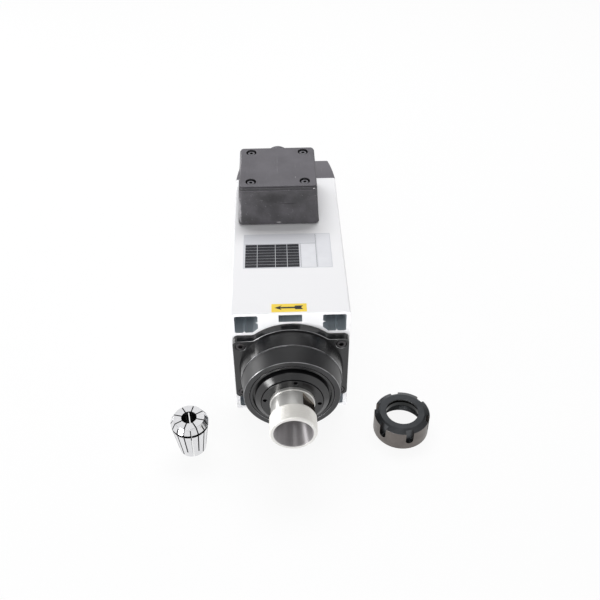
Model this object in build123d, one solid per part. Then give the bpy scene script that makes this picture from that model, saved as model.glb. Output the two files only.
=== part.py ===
from build123d import *

import math
import os

# Air-cooled router spindle: a square extruded motor body with an ER32 nose, a terminal box
# on top and a fan at the back. Millimetres, with X to the right, Y to the rear and Z up.
# The origin is the centre of the body's bottom face. Everything turns about a line along Y.

# Body extrusion
body_width = 103.0
body_height = 120.0
body_length = 206.4
body_corner_radius = 2.0
bore_side_wall = 5.5
stator_bore_radius = body_width / 2 - bore_side_wall
axis_height = body_height / 2
front_face = -body_length / 2
rear_face = body_length / 2

# Cooling channels in the body: one in each corner and a flat one in the top and bottom walls
channel_inner_side = 28.0
channel_floor = 38.0
channel_side_wall = 3.5
channel_roof = 3.0
channel_width = body_width / 2 - channel_side_wall - channel_inner_side
channel_height = axis_height - channel_roof - channel_floor
channel_corner_radius = 1.5
channel_chamfer = 4.6
channel_rib = 2.0
channel_floor_rib_at = 8.0
channel_side_rib_at = 7.8
slot_width = 20.0
slot_roof = 2.5
slot_bore_wall = 3.7
slot_height = axis_height - stator_bore_radius - slot_roof - slot_bore_wall

# Clearances
spigot_gap = 0.05
running_gap = 0.4
ball_gap = 0.15
screw_gap = 0.05
hole_gap = 0.3
label_thickness = 0.3

# End flanges: the same outline closes both ends and leaves the channels open
flange_side_step = 0.9
flange_half_width = body_width / 2 - flange_side_step
flange_channel_step = 2.7
flange_half_height = channel_floor - flange_channel_step
flange_arc_step = 3.5
flange_arc_radius = body_width / 2 - flange_arc_step
flange_ear_radius = 4.5
flange_blend_radius = 6.0
flange_screw_inset = 6.9
flange_screw_x = flange_half_width - flange_screw_inset
flange_screw_z = 29.0
front_flange = 8.0
rear_flange = 6.0
rear_flange_gap = 0.8
rear_flange_arc_radius = flange_arc_radius - rear_flange_gap
spigot_length = 8.0

# Front boss, measured forward from the front face
boss_root_radius = 46.0
boss_step_radius = 44.0
boss_step_at = 22.4
boss_step_depth = 0.5
boss_front_radius = 41.75
boss_front_at = 40.3
boss_chamfer = 0.6

# Front bearing cover and the labyrinth ring that turns inside it
cover_radius = 36.5
cover_cone_radius = 31.9
cover_groove_width = 2.0
cover_groove_depth = 3.0
cover_cone_at = 42.9
cover_tip_at = 46.2
cover_tip_radius = 27.3
labyrinth_radius = 26.4
labyrinth_front_at = 47.2
labyrinth_hub_radius = 21.5
labyrinth_hub_length = 4.6
labyrinth_axial_gap = 0.6
pin_hole_radius = 1.75
pin_hole_circle = 23.5
pin_hole_depth = 4.0
pin_hole_count = 4
pin_hole_turn = -7.0

# Spindle nose, measured forward from the front face
nose_tip_at = 81.5
thread_radius = 20.0
thread_rear_at = 64.7
thread_chamfer = 1.0
neck_radius = 18.6
shoulder_radius = 19.3
shoulder_length = 2.8
flat_front_at = 64.0
flat_rear_at = 51.0
flats_across = 32.0
flats_turn = 32.0
taper_mouth_radius = 16.3
taper_half_angle = 8.0
taper_depth = 31.0
relief_radius = 10.5
relief_depth = 14.0
mouth_chamfer = 0.5

# Front bearings: an angular contact pair with spacers between, clamped by a locknut
front_bearing_bore = 17.5
front_bearing_outside = 31.0
front_bearing_width = 14.0
front_ball_radius = 3.9
front_ball_count = 14
bearing_spread = 6.0
spacer_wall = 3.5
labyrinth_seat_radius = 18.0
cap_shoulder_radius = 27.5
locknut_radius = 24.0
locknut_width = 8.0
locknut_slot_width = 5.0
locknut_slot_depth = 2.5
locknut_slot_count = 4

# Every bearing: the lands and track of its races, and the cage, as shares of the ball's radius
race_land_share = 0.7
track_width_share = 0.95
track_depth_share = 0.45
cage_thickness_share = 0.9
cage_width_share = 2.7

# Rear bearing and its disc spring
rear_bearing_bore = 12.5
rear_bearing_outside = 26.0
rear_bearing_width = 15.0
rear_ball_radius = 3.9
rear_ball_count = 9
rear_wall = 3.0
spring_height = 1.8
spring_thickness = 0.7
spring_width = 4.5
rear_hub_radius = 32.0
rear_spigot_inner = 40.0
rear_hub_reach = 16.0
circlip_width = 1.2
circlip_depth = 0.8
circlip_lip = 2.6

# Stator and rotor, with the stack measured from the body's two end faces
stack_from_front = 45.0
stack_from_rear = 51.4
air_gap = 0.4
rotor_radius = 26.0
rotor_seat_radius = 17.0
rear_shaft_radius = 15.0
slot_count = 24
stator_slot_width = 4.2
stator_slot_inner = 28.4
stator_slot_outer = 38.0
slot_mouth = 2.0
slot_liner = 0.3
end_turn_inner = 29.0
end_turn_outer = 39.0
end_turn_length = 20.0
end_turn_chamfer = 3.0
bar_count = 16
bar_width = 2.6
bar_height = 4.5
bar_depth = 1.2
end_ring_length = 8.0
end_ring_width = 6.5
end_ring_step = 0.5

# Fan on the rear shaft end
fan_radius = 38.0
fan_hub_radius = 13.0
fan_disc = 2.5
fan_blade_height = 17.0
fan_blade_thickness = 2.0
fan_blade_count = 9
fan_blade_inset = 0.5
fan_overlap = 1.0
fan_hub_length = 22.0
fan_seat_radius = 8.0
fan_shoulder_radius = 10.0
fan_shield_gap = 2.0
fan_disc_offset = 2.0
fan_washer_radius = 10.0
fan_washer_thickness = 1.5
shaft_end_recess = 0.5

# Fan cover
cover_length = 45.0
cover_wall = 2.5
cover_rear_wall = 3.0
cover_narrows_x = 10.4
cover_narrows_z = 16.0
cover_rear_width = body_width - cover_narrows_x
cover_rear_height = body_height - cover_narrows_z
cover_bulge = 0.6
cover_corner_radius = 4.0
cover_rear_edge = 1.5
cover_post_inset = 11.0
cover_post_x = body_width / 2 - cover_post_inset
cover_post_z = 17.0
cover_post_radius = 4.5
cover_screw_sunk = 1.0
grille_ring_count = 4
grille_first_radius = 9.0
grille_slot = 4.0
grille_web = 3.6
grille_spoke = 4.0
grille_spoke_count = 4

# Terminal box on top, drafted so that it narrows upward
box_width = 74.0
box_length = 71.0
box_center_x = -8.0
box_center_from_rear = 43.4
box_height = 38.0
box_draft = 1.3
box_corner_radius = 4.5
box_wall = 3.0
box_floor = 3.0
box_gasket = 0.8
box_gasket_inset = 1.2
lid_thickness = 4.7
lid_skin = 2.7
lid_edge_radius = 1.6
lid_well_radius = 5.0
lid_well_wall = 1.8
lid_well_floor = 2.0
lid_screw_sunk = 2.7
lid_screw_x = 25.4
lid_screw_y = 26.0
rim_gasket_width = 1.2
rim_gasket_depth = 1.0

# Leads and terminals inside the box
lead_count = 3
lead_radius = 1.5
lead_circle = 3.0
sleeve_radius = 7.4
sleeve_bore = 5.2
sleeve_flange_radius = 9.5
sleeve_flange = 1.5
terminal_length = 44.0
terminal_width = 13.0
terminal_height = 12.0
terminal_lift = 9.0
terminal_leg = 6.0
terminal_pitch = 12.0
terminal_screw_reach = 6.0
box_screw_x = 19.0
box_screw_y = 13.0
earth_screw_x = -16.0
earth_screw_y = 24.0

# Cable gland in the rear wall of the box
gland_x = -7.5
gland_rise = 22.0
gland_height = body_height + gland_rise
gland_thread_radius = 10.0
gland_bore = 6.5
gland_across_flats = 24.0
gland_flange = 5.0
gland_nut_radius = 12.0
gland_nut_length = 15.0
gland_nut_gap = 0.6
gland_tail = 10.0
gland_dome = 3.0
gland_pad = 1.5
gland_pad_radius = 14.5
gland_seal_bore = 5.0
gland_seal_length = 8.0
gland_locknut = 4.0

# Labels on the top face
plate_width = 81.5
plate_length = 51.0
plate_center_x = -0.75
plate_box_gap = 16.5
plate_corner = 1.0
arrow_width = 30.2
arrow_length = 10.1
arrow_center_x = -0.9
arrow_front_at = 1.5

# Mounting holes in the bottom face
mount_core_radius = 3.4
mount_depth = axis_height - stator_bore_radius
mount_spacing_x = 38.0
mount_spacing_y = 130.0

# Collet, standing on its small end beside the nose
collet_x = -90.3
collet_ahead = 43.8
collet_height = 40.0
collet_radius = 16.5
collet_tail_radius = 11.8
collet_front_radius = 13.5
collet_cone = 5.2
collet_head = 5.8
collet_groove = 3.0
collet_groove_radius = 13.6
collet_bore = 6.35
collet_slot = 0.9
collet_slot_pairs = 4
collet_front_slot_end = 7.0
collet_rear_slot_web = 1.2
collet_turn = -11.0

# Collet nut, lying with its front face up
nut_x = 99.4
nut_ahead = 28.8
nut_radius = 25.0
nut_height = 22.5
nut_opening = 14.2
nut_cone_width = 5.0
nut_cone_height = 2.5
nut_thread_depth = 13.0
nut_ring_height = 4.0
nut_ring_groove = 1.0
nut_ring_radius = 15.6
nut_ring_offset = 0.5
nut_ring_gap = 0.1
nut_slot_count = 6
nut_slot_width = 7.0
nut_slot_depth = 3.4
nut_slot_length = 15.0
nut_slot_turn = 40.0

# Socket head screws: (thread radius, head radius, head height, hexagon across flats)
M4 = (2.0, 3.5, 4.0, 3.0)
M5 = (2.5, 4.25, 5.0, 4.0)
flange_screw_length = 20.0
shield_screw_length = 18.0
cover_screw_length = 40.0
lid_screw_length = 16.0
box_screw_length = 10.0
fan_screw_length = 14.0
counterbore_gap = 0.45
tapped_runout = 2.0


# Helpers

def section(y):
    """The sketch plane across the spindle axis at y, with X to the right and Z up."""
    return Plane(origin=(0, y, 0), x_dir=(1, 0, 0), z_dir=(0, -1, 0))


def along(sketch, y_start, y_end):
    """The sketch, drawn in X and Z, made solid from y_start to y_end."""
    return extrude(section(y_end) * sketch, y_end - y_start)


def upward(sketch, z_start, z_end):
    """The sketch, drawn in X and Y, made solid from z_start to z_end."""
    return extrude(Pos(0, 0, z_start) * sketch, z_end - z_start)


def turned(*points):
    """A solid turned about the spindle axis from (y, radius) points."""
    outline = make_face(Polyline(*[(radius, y) for y, radius in points], close=True))
    return Pos(0, 0, axis_height) * revolve(outline, Axis.Y)


def ring(y_start, y_end, outer, inner):
    """A plain ring about the spindle axis."""
    return turned((y_start, inner), (y_start, outer), (y_end, outer), (y_end, inner))


def turned_up(*points):
    """A solid turned about Z from (z, radius) points."""
    outline = make_face(Polyline(*[(radius, z) for z, radius in points], close=True))
    return revolve(Plane.XZ * outline, Axis.Z)


def around(count, start=0.0):
    """Turns about the spindle axis for a pattern of count."""
    step = 360 / count
    return [Pos(0, 0, axis_height) * Rot(Y=-start - i * step) for i in range(count)]


def four(x, z):
    """The four places at plus and minus x, and z above and below the axis."""
    return [(sx * x, axis_height + sz * z) for sx in (-1, 1) for sz in (-1, 1)]


def hexagon(across_flats):
    return RegularPolygon(across_flats / 2, 6, major_radius=False)


def cap_screw(size, length):
    """A socket head screw along Z, with the underside of its head at the origin."""
    thread, head, height, across = size
    shank = thread - screw_gap
    screw = turned_up((-length, 0), (-length, shank), (0, shank), (0, head), (height, head), (height, 0))
    return screw - upward(hexagon(across), height / 2, height)


def facing_front(x, y, z):
    return Pos(x, y, z) * Rot(X=90)


def facing_rear(x, y, z):
    return Pos(x, y, z) * Rot(X=-90)


def drilled(place, radius, depth):
    """A hole's core, going depth along the place's own minus Z from its origin."""
    return place * upward(Circle(radius), -depth, 0)


def write(name, *solids):
    """One STEP file for one node, with the solids that belong to it."""
    parts = [solid for shape in solids for solid in shape.solids()]
    shape = parts[0] if len(parts) == 1 else Compound(children=parts)
    export_step(shape, f"parts/{name}.step")


os.makedirs("parts", exist_ok=True)


# Where the pieces stand along the axis

flange_front = front_face - front_flange
boss_front = front_face - boss_front_at
cover_front = front_face - cover_tip_at
labyrinth_front = front_face - labyrinth_front_at
nose_tip = front_face - nose_tip_at
stack_front = front_face + stack_from_front
stack_rear = rear_face - stack_from_rear

# The bearing pair ends flush with the front face, so its front stands two bearings and the spacer ahead
bearing_2_front = front_face - front_bearing_width
bearing_1_front = bearing_2_front - bearing_spread - front_bearing_width
flange_rear = rear_face + rear_flange
spring_rear = flange_rear - rear_wall
rear_bearing_front = spring_rear - spring_height - rear_bearing_width
rear_bearing_rear = rear_bearing_front + rear_bearing_width
fan_front = flange_rear + fan_shield_gap
fan_hub_rear = fan_front + fan_hub_length
cover_rear = rear_face + cover_length


# Body extrusion, with the tapped holes that everything else is screwed to

def corner_channel():
    """One corner channel at the top right, with a pointed rib in its floor and in its inner side."""
    right = body_width / 2 - channel_side_wall
    top = body_height - channel_roof
    center = (right - channel_width / 2, top - channel_height / 2)
    channel = Pos(*center) * Rectangle(channel_width, channel_height)
    inner_low = channel.vertices().sort_by(Axis.X)[:2].sort_by(Axis.Y)[0]
    others = [v for v in channel.vertices() if v != inner_low]
    channel = fillet(others, channel_corner_radius)
    beyond = (center[0] - channel_width, center[1] - channel_height)
    inner_low = channel.vertices().sort_by_distance(beyond)[0]
    channel = chamfer(inner_low, channel_chamfer)
    rib = Polygon((-channel_rib / 2, 0), (channel_rib / 2, 0), (0, channel_rib), align=None)
    channel -= Pos(right - channel_floor_rib_at, top - channel_height) * rib
    channel -= Pos(right - channel_width, top - channel_side_rib_at) * Rot(Z=-90) * rib
    return channel


def body_section():
    """The extrusion's section, with the bore and all six channels."""
    outline = Pos(0, axis_height) * RectangleRounded(body_width, body_height, body_corner_radius)
    channel = corner_channel()
    slot = Pos(0, body_height - slot_roof - slot_height / 2) * Rectangle(slot_width, slot_height)
    holes = channel + mirror(channel, Plane.YZ) + slot
    lower = Pos(0, body_height) * mirror(holes, Plane.XZ)
    return outline - Pos(0, axis_height) * Circle(stator_bore_radius) - holes - lower


box_center_y = rear_face - box_center_from_rear
box_bottom = body_height + box_gasket
box_top = body_height + box_height
lid_top = box_top + lid_thickness
box_screws = [(sx * box_screw_x, box_center_y + sy * box_screw_y) for sx in (-1, 1) for sy in (-1, 1)]
earth_screw = (earth_screw_x, box_center_y + earth_screw_y)
lid_screws = [
    (box_center_x + sx * lid_screw_x, box_center_y + sy * lid_screw_y) for sx in (-1, 1) for sy in (-1, 1)
]
mount_holes = [(sx * mount_spacing_x / 2, sy * mount_spacing_y / 2) for sx in (-1, 1) for sy in (-1, 1)]
box_screw_seat = box_bottom + box_floor

housing = along(body_section(), front_face, rear_face)
for x, z in four(flange_screw_x, flange_screw_z):
    depth = flange_screw_length - front_flange + M5[2] + tapped_runout
    housing -= drilled(facing_front(x, front_face, z), M5[0], depth)
    depth = shield_screw_length - rear_flange + M5[2] + tapped_runout
    housing -= drilled(facing_rear(x, rear_face, z), M5[0], depth)
for x, y in box_screws + [earth_screw]:
    housing -= drilled(Pos(x, y, body_height), M4[0], box_screw_length)
housing -= drilled(Pos(0, box_center_y, body_height), sleeve_radius + screw_gap, body_height - axis_height)
for x, y in mount_holes:
    housing -= Pos(x, y, 0) * upward(Circle(mount_core_radius), 0, mount_depth)
write("housing_extrusion", housing)


# Stator: the slotted stack, the windings that fill its slots, and the leads up to the box

def slots(width, inner, outer):
    """Rectangles on every slot's centre line, between the two radii."""
    slot = Pos((inner + outer) / 2, 0) * Rectangle(outer - inner, width)
    return Sketch() + [
        Pos(0, axis_height) * Rot(Z=i * 360 / slot_count) * slot for i in range(slot_count)
    ]


stator_inner = rotor_radius + air_gap
stator = Pos(0, axis_height) * (Circle(stator_bore_radius) - Circle(stator_inner))
stator -= slots(stator_slot_width, stator_slot_inner, stator_slot_outer)
stator -= slots(slot_mouth, stator_inner - 1, stator_slot_inner + 1)
write("stator_core", along(stator, stack_front, stack_rear))

coil_width = stator_slot_width - 2 * slot_liner
coils = slots(coil_width, stator_slot_inner + slot_liner, stator_slot_outer - slot_liner)
windings = along(coils, stack_front, stack_rear)
for near, far in ((stack_front, stack_front - end_turn_length), (stack_rear, stack_rear + end_turn_length)):
    bevel = math.copysign(end_turn_chamfer, near - far)
    windings += turned(
        (near, end_turn_inner),
        (near, end_turn_outer),
        (far + bevel, end_turn_outer),
        (far, end_turn_outer - end_turn_chamfer),
        (far, end_turn_inner),
    )
write("stator_windings", windings)

terminal_bottom = box_screw_seat + terminal_lift
lead_start = axis_height + end_turn_outer + ball_gap
leads = [
    Pos(0, box_center_y, 0) * Rot(Z=90 + i * 360 / lead_count) * Pos(lead_circle, 0)
    * upward(Circle(lead_radius), lead_start, terminal_bottom)
    for i in range(lead_count)
]
write("stator_leads", *leads)
sleeve = turned_up(
    (lead_start + lead_radius, sleeve_bore),
    (lead_start + lead_radius, sleeve_radius),
    (box_screw_seat, sleeve_radius),
    (box_screw_seat, sleeve_flange_radius),
    (box_screw_seat + sleeve_flange, sleeve_flange_radius),
    (box_screw_seat + sleeve_flange, sleeve_bore),
)
write("lead_sleeve", Pos(0, box_center_y, 0) * sleeve)


# Front end cap: the black flange and boss that hold the front bearings

def flange_outline(half_width, arc_radius):
    """A rectangle and a larger circle run together, with soft hollows where they meet."""
    ears = RectangleRounded(2 * half_width, 2 * flange_half_height, flange_ear_radius)
    outline = ears + Circle(arc_radius)
    meeting = [v for v in outline.vertices() if abs(math.hypot(v.X, v.Y) - arc_radius) < 0.01]
    return Pos(0, axis_height) * fillet(meeting, flange_blend_radius)


cover_seat = bearing_1_front
spigot_radius = stator_bore_radius - spigot_gap
step = front_face - boss_step_at
cap = along(flange_outline(flange_half_width, flange_arc_radius), flange_front, front_face)
cap += turned(
    (front_face + spigot_length, 0),
    (front_face + spigot_length, spigot_radius),
    (front_face, spigot_radius),
    (flange_front, boss_root_radius),
    (step, boss_step_radius),
    (step, boss_step_radius - boss_step_depth),
    (boss_front + boss_chamfer, boss_front_radius),
    (boss_front, boss_front_radius - boss_chamfer),
    (boss_front, 0),
)
cap -= turned(
    (boss_front, 0),
    (boss_front, cover_radius),
    (cover_seat, cover_radius),
    (cover_seat, front_bearing_outside),
    (front_face, front_bearing_outside),
    (front_face, cap_shoulder_radius),
    (front_face + spigot_length, cap_shoulder_radius),
    (front_face + spigot_length, 0),
)
cap_screws = []
for x, z in four(flange_screw_x, flange_screw_z):
    place = facing_front(x, flange_front + M5[2], z)
    cap -= place * upward(Circle(M5[1] + counterbore_gap), 0, boss_front_at)
    cap -= drilled(place, M5[0] + hole_gap, front_flange)
    cap_screws.append(place * cap_screw(M5, flange_screw_length))
write("front_end_cap", cap)
write("front_cap_screws", *cap_screws)


# Front bearing cover, screwed into the boss, and the labyrinth ring on the shaft

labyrinth_rear = bearing_1_front - labyrinth_hub_length
flange_lip = labyrinth_rear + labyrinth_axial_gap
lip_radius = labyrinth_hub_radius + running_gap
tip_bore = labyrinth_radius + running_gap
groove_outer = cover_cone_radius + cover_groove_width
bearing_cover = turned(
    (cover_seat, lip_radius),
    (cover_seat, cover_radius - spigot_gap),
    (boss_front, cover_radius - spigot_gap),
    (boss_front, groove_outer),
    (boss_front + cover_groove_depth, groove_outer),
    (boss_front + cover_groove_depth, cover_cone_radius),
    (front_face - cover_cone_at, cover_cone_radius),
    (cover_front, cover_tip_radius),
    (cover_front, tip_bore),
    (flange_lip, tip_bore),
    (flange_lip, lip_radius),
)
write("front_bearing_cover", bearing_cover)

labyrinth = turned(
    (labyrinth_front, labyrinth_seat_radius),
    (labyrinth_front, labyrinth_radius),
    (labyrinth_rear, labyrinth_radius),
    (labyrinth_rear, labyrinth_hub_radius),
    (bearing_1_front, labyrinth_hub_radius),
    (bearing_1_front, labyrinth_seat_radius),
)
for turn in around(pin_hole_count, pin_hole_turn):
    place = turn * facing_front(pin_hole_circle, labyrinth_front, 0)
    labyrinth -= drilled(place, pin_hole_radius, pin_hole_depth)
write("labyrinth_ring", labyrinth)


# Spindle shaft: threaded nose with its collet taper, neck with two wrench flats, bearing seats

taper_end_radius = taper_mouth_radius - taper_depth * math.tan(math.radians(taper_half_angle))
thread_rear = front_face - thread_rear_at
locknut_rear = front_face + locknut_width
circlip_rear = rear_bearing_rear + circlip_width
shaft_end = fan_hub_rear - shaft_end_recess
shoulder_front = labyrinth_front - shoulder_length
shaft = turned(
    (nose_tip, taper_mouth_radius + mouth_chamfer),
    (nose_tip, thread_radius - thread_chamfer),
    (nose_tip + thread_chamfer, thread_radius),
    (thread_rear - thread_chamfer, thread_radius),
    (thread_rear, thread_radius - thread_chamfer),
    (thread_rear, neck_radius),
    (shoulder_front, neck_radius),
    (shoulder_front, shoulder_radius),
    (labyrinth_front, shoulder_radius),
    (labyrinth_front, labyrinth_seat_radius),
    (bearing_1_front, labyrinth_seat_radius),
    (bearing_1_front, front_bearing_bore),
    (locknut_rear, front_bearing_bore),
    (locknut_rear, rotor_seat_radius),
    (stack_rear, rotor_seat_radius),
    (stack_rear, rear_shaft_radius),
    (rear_bearing_front, rear_shaft_radius),
    (rear_bearing_front, rear_bearing_bore),
    (rear_bearing_rear, rear_bearing_bore),
    (rear_bearing_rear, rear_bearing_bore - circlip_depth),
    (circlip_rear, rear_bearing_bore - circlip_depth),
    (circlip_rear, rear_bearing_bore),
    (spring_rear, rear_bearing_bore),
    (spring_rear, fan_shoulder_radius),
    (fan_front, fan_shoulder_radius),
    (fan_front, fan_seat_radius),
    (shaft_end, fan_seat_radius),
    (shaft_end, 0),
    (nose_tip + taper_depth + relief_depth, 0),
    (nose_tip + taper_depth + relief_depth, relief_radius),
    (nose_tip + taper_depth, relief_radius),
    (nose_tip + taper_depth, taper_end_radius),
    (nose_tip + mouth_chamfer, taper_mouth_radius),
)
flat_length = flat_front_at - flat_rear_at
for turn in around(2, flats_turn):
    chip = Box(thread_radius, flat_length, 2 * thread_radius)
    middle = front_face - (flat_front_at + flat_rear_at) / 2
    shaft -= turn * Pos((flats_across + thread_radius) / 2, middle, 0) * chip
shaft -= drilled(facing_rear(0, shaft_end, axis_height), M5[0], fan_screw_length + tapped_runout)
write("spindle_shaft", shaft)


# Ball bearings: each is an outer race, an inner race, its balls and the cage that spaces them

def ball(radius):
    """A ball drawn with 26 flats inside the true sphere, because round ones make the model heavy."""
    flat = math.tan(math.radians(22.5))
    half = radius / math.hypot(1, math.sqrt(2) * flat)
    return chamfer(Box(2 * half, 2 * half, 2 * half).edges(), half * (1 - flat))


def races(front, width, bore, outside, ball_radius):
    """The outer and the inner race, each with a grooved track for the balls."""
    pitch = (bore + outside) / 2
    track = ball_radius + ball_gap
    land = race_land_share * ball_radius
    middle = front + width / 2
    rear = front + width

    def track_points(side):
        wide, deep = track_width_share * track, track_depth_share * track
        offsets = ((-wide, land), (-deep, track), (deep, track), (wide, land))
        return [(middle + dy, pitch + side * dr) for dy, dr in offsets]

    outer = turned(
        (front, outside), (front, pitch + land), *track_points(1), (rear, pitch + land), (rear, outside)
    )
    inner = turned(
        (front, bore), (front, pitch - land), *track_points(-1), (rear, pitch - land), (rear, bore)
    )
    return outer, inner


def ball_row(front, width, bore, outside, ball_radius, count):
    pitch = (bore + outside) / 2
    return [turn * Pos(pitch, front + width / 2, 0) * ball(ball_radius) for turn in around(count)]


def ball_cage(front, width, bore, outside, ball_radius, count):
    """A ring round the pitch circle with a round pocket for each ball."""
    pitch = (bore + outside) / 2
    middle = front + width / 2
    half_width = cage_width_share * ball_radius / 2
    half_wall = cage_thickness_share * ball_radius / 2
    cage = ring(middle - half_width, middle + half_width, pitch + half_wall, pitch - half_wall)
    pocket = Rot(Y=90) * Cylinder(ball_radius + ball_gap, 4 * half_wall)
    for turn in around(count):
        cage -= turn * Pos(pitch, middle, 0) * pocket
    return cage


for number, front in ((1, bearing_1_front), (2, bearing_2_front)):
    size = (front, front_bearing_width, front_bearing_bore, front_bearing_outside, front_ball_radius)
    outer, inner = races(*size)
    write(f"front_bearing_{number}_outer_race", outer)
    write(f"front_bearing_{number}_inner_race", inner)
    write(f"front_bearing_{number}_balls", *ball_row(*size, front_ball_count))
    write(f"front_bearing_{number}_cage", ball_cage(*size, front_ball_count))

spacer_front = bearing_1_front + front_bearing_width
spacer_outer_bore = front_bearing_outside - spacer_wall
spacer_inner_outside = front_bearing_bore + spacer_wall
outer_spacer = ring(spacer_front, bearing_2_front, front_bearing_outside, spacer_outer_bore)
inner_spacer = ring(spacer_front, bearing_2_front, spacer_inner_outside, front_bearing_bore)
write("outer_bearing_spacer", outer_spacer)
write("inner_bearing_spacer", inner_spacer)

locknut = ring(front_face, locknut_rear, locknut_radius, front_bearing_bore)
for turn in around(locknut_slot_count):
    notch = Box(2 * locknut_slot_depth, locknut_width, locknut_slot_width)
    locknut -= turn * Pos(locknut_radius, front_face + locknut_width / 2, 0) * notch
write("front_locknut", locknut)


# Rotor: the stack and its cast cage of bars and end rings

def bars():
    bar_center = rotor_radius - bar_depth - bar_height / 2
    bar = Pos(bar_center, 0) * Rectangle(bar_height, bar_width)
    return Sketch() + [
        Pos(0, axis_height) * Rot(Z=i * 360 / bar_count) * bar for i in range(bar_count)
    ]


core = Pos(0, axis_height) * (Circle(rotor_radius) - Circle(rotor_seat_radius)) - bars()
write("rotor_core", along(core, stack_front, stack_rear))
cage_outer = rotor_radius - end_ring_step
cage_inner = cage_outer - end_ring_width
cage = along(bars(), stack_front, stack_rear)
cage += ring(stack_front - end_ring_length, stack_front, cage_outer, cage_inner)
cage += ring(stack_rear, stack_rear + end_ring_length, cage_outer, cage_inner)
write("rotor_cage", cage)


# Rear end shield with the rear bearing, its disc spring and its retaining ring

hub_front = flange_rear - rear_hub_reach - rear_flange
rear_half_width = body_width / 2 - cover_wall - rear_flange_gap
shield = along(flange_outline(rear_half_width, rear_flange_arc_radius), rear_face, flange_rear)
shield += ring(rear_face - spigot_length, rear_face, spigot_radius, rear_spigot_inner)
shield += ring(hub_front, rear_face, rear_hub_radius, rear_bearing_outside)
shield -= turned(
    (rear_face, 0),
    (rear_face, rear_bearing_outside),
    (spring_rear, rear_bearing_outside),
    (spring_rear, rear_bearing_bore + running_gap),
    (flange_rear, rear_bearing_bore + running_gap),
    (flange_rear, 0),
)
shield_screws = []
for x, z in four(flange_screw_x, flange_screw_z):
    place = facing_rear(x, flange_rear, z)
    shield -= drilled(place, M5[0] + hole_gap, rear_flange)
    shield_screws.append(place * cap_screw(M5, shield_screw_length))
for x, z in four(cover_post_x, cover_post_z):
    shield -= drilled(facing_rear(x, flange_rear, z), M4[0], rear_flange + spigot_length)
write("rear_end_shield", shield)
write("rear_shield_screws", *shield_screws)

size = (rear_bearing_front, rear_bearing_width, rear_bearing_bore, rear_bearing_outside, rear_ball_radius)
outer, inner = races(*size)
write("rear_bearing_outer_race", outer)
write("rear_bearing_inner_race", inner)
write("rear_bearing_balls", *ball_row(*size, rear_ball_count))
write("rear_bearing_cage", ball_cage(*size, rear_ball_count))

spring = turned(
    (rear_bearing_rear, rear_bearing_outside - spring_thickness),
    (rear_bearing_rear, rear_bearing_outside - hole_gap),
    (rear_bearing_rear + spring_thickness, rear_bearing_outside - hole_gap),
    (spring_rear, rear_bearing_outside - spring_width + spring_thickness),
    (spring_rear, rear_bearing_outside - spring_width),
    (spring_rear - spring_thickness, rear_bearing_outside - spring_width),
)
write("rear_disc_spring", spring)
circlip_outer = rear_bearing_bore + circlip_lip
circlip = ring(rear_bearing_rear, circlip_rear, circlip_outer, rear_bearing_bore - circlip_depth)
circlip -= Pos(0, rear_bearing_rear + circlip_width / 2, axis_height - circlip_outer) * Box(
    circlip_outer, circlip_width, circlip_outer
)
write("rear_retaining_ring", circlip)


# Cooling fan on the shaft end, held by a washer and a screw

disc_front = fan_front + fan_disc_offset
fan = ring(fan_front, fan_hub_rear, fan_hub_radius, fan_seat_radius)
fan += ring(disc_front, disc_front + fan_disc, fan_radius, fan_hub_radius - fan_overlap)
blade_outer = fan_radius - fan_blade_inset
blade_length = blade_outer - fan_hub_radius + fan_overlap
for turn in around(fan_blade_count):
    blade = Box(blade_length, fan_blade_height, fan_blade_thickness)
    middle = disc_front + fan_disc + fan_blade_height / 2
    fan += turn * Pos(blade_outer - blade_length / 2, middle, 0) * blade
write("cooling_fan", fan)
washer_rear = fan_hub_rear + fan_washer_thickness
write("fan_washer", ring(fan_hub_rear, washer_rear, fan_washer_radius, M5[0] + hole_gap))
write("fan_screw", facing_rear(0, washer_rear, axis_height) * cap_screw(M5, fan_screw_length))


# Fan cover: a moulded shell that narrows to the rear, with ring slots for the air

def cover_profile(plane, front_width, rear_width, inset, depth):
    """A slab through the cover that narrows to the rear along two slightly bulged sides."""
    front, rear = front_width / 2 - inset, rear_width / 2 - inset
    middle = (front + rear) / 2 + cover_bulge
    half = cover_length / 2
    right = ThreePointArc((front, 0), (middle, half), (rear, cover_length))
    back = Line((rear, cover_length), (-rear, cover_length))
    left = ThreePointArc((-rear, cover_length), (-middle, half), (-front, 0))
    across = Line((-front, 0), (front, 0))
    return extrude(plane * make_face([right, back, left, across]), depth, both=True)


def cover_shape(inset, end):
    """The cover's outside as far as end, or its hollow when inset by the wall."""
    middle = (0, rear_face, axis_height)
    from_above = Plane(origin=middle, x_dir=(1, 0, 0), z_dir=(0, 0, 1))
    from_side = Plane(origin=middle, x_dir=(0, 0, 1), z_dir=(-1, 0, 0))
    shape = cover_profile(from_above, body_width, cover_rear_width, inset, body_height)
    shape &= cover_profile(from_side, body_height, cover_rear_height, inset, body_width)
    corners = shape.edges().filter_by(lambda edge: edge.bounding_box().size.Y > cover_length / 2)
    shape = fillet(corners, cover_corner_radius - inset / 2)
    return shape & along(Pos(0, axis_height) * Rectangle(body_width, body_height), rear_face, end)


def grille():
    """Arc slots in rings round the axis, with straight spokes between them."""
    rings = Sketch()
    for i in range(grille_ring_count):
        inner = grille_first_radius + i * (grille_slot + grille_web)
        rings += Circle(inner + grille_slot) - Circle(inner)
    for i in range(grille_spoke_count // 2):
        angle = 45 + i * 360 / grille_spoke_count
        rings -= Rot(Z=angle) * Rectangle(2 * body_height, grille_spoke)
    return Pos(0, axis_height) * rings


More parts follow.
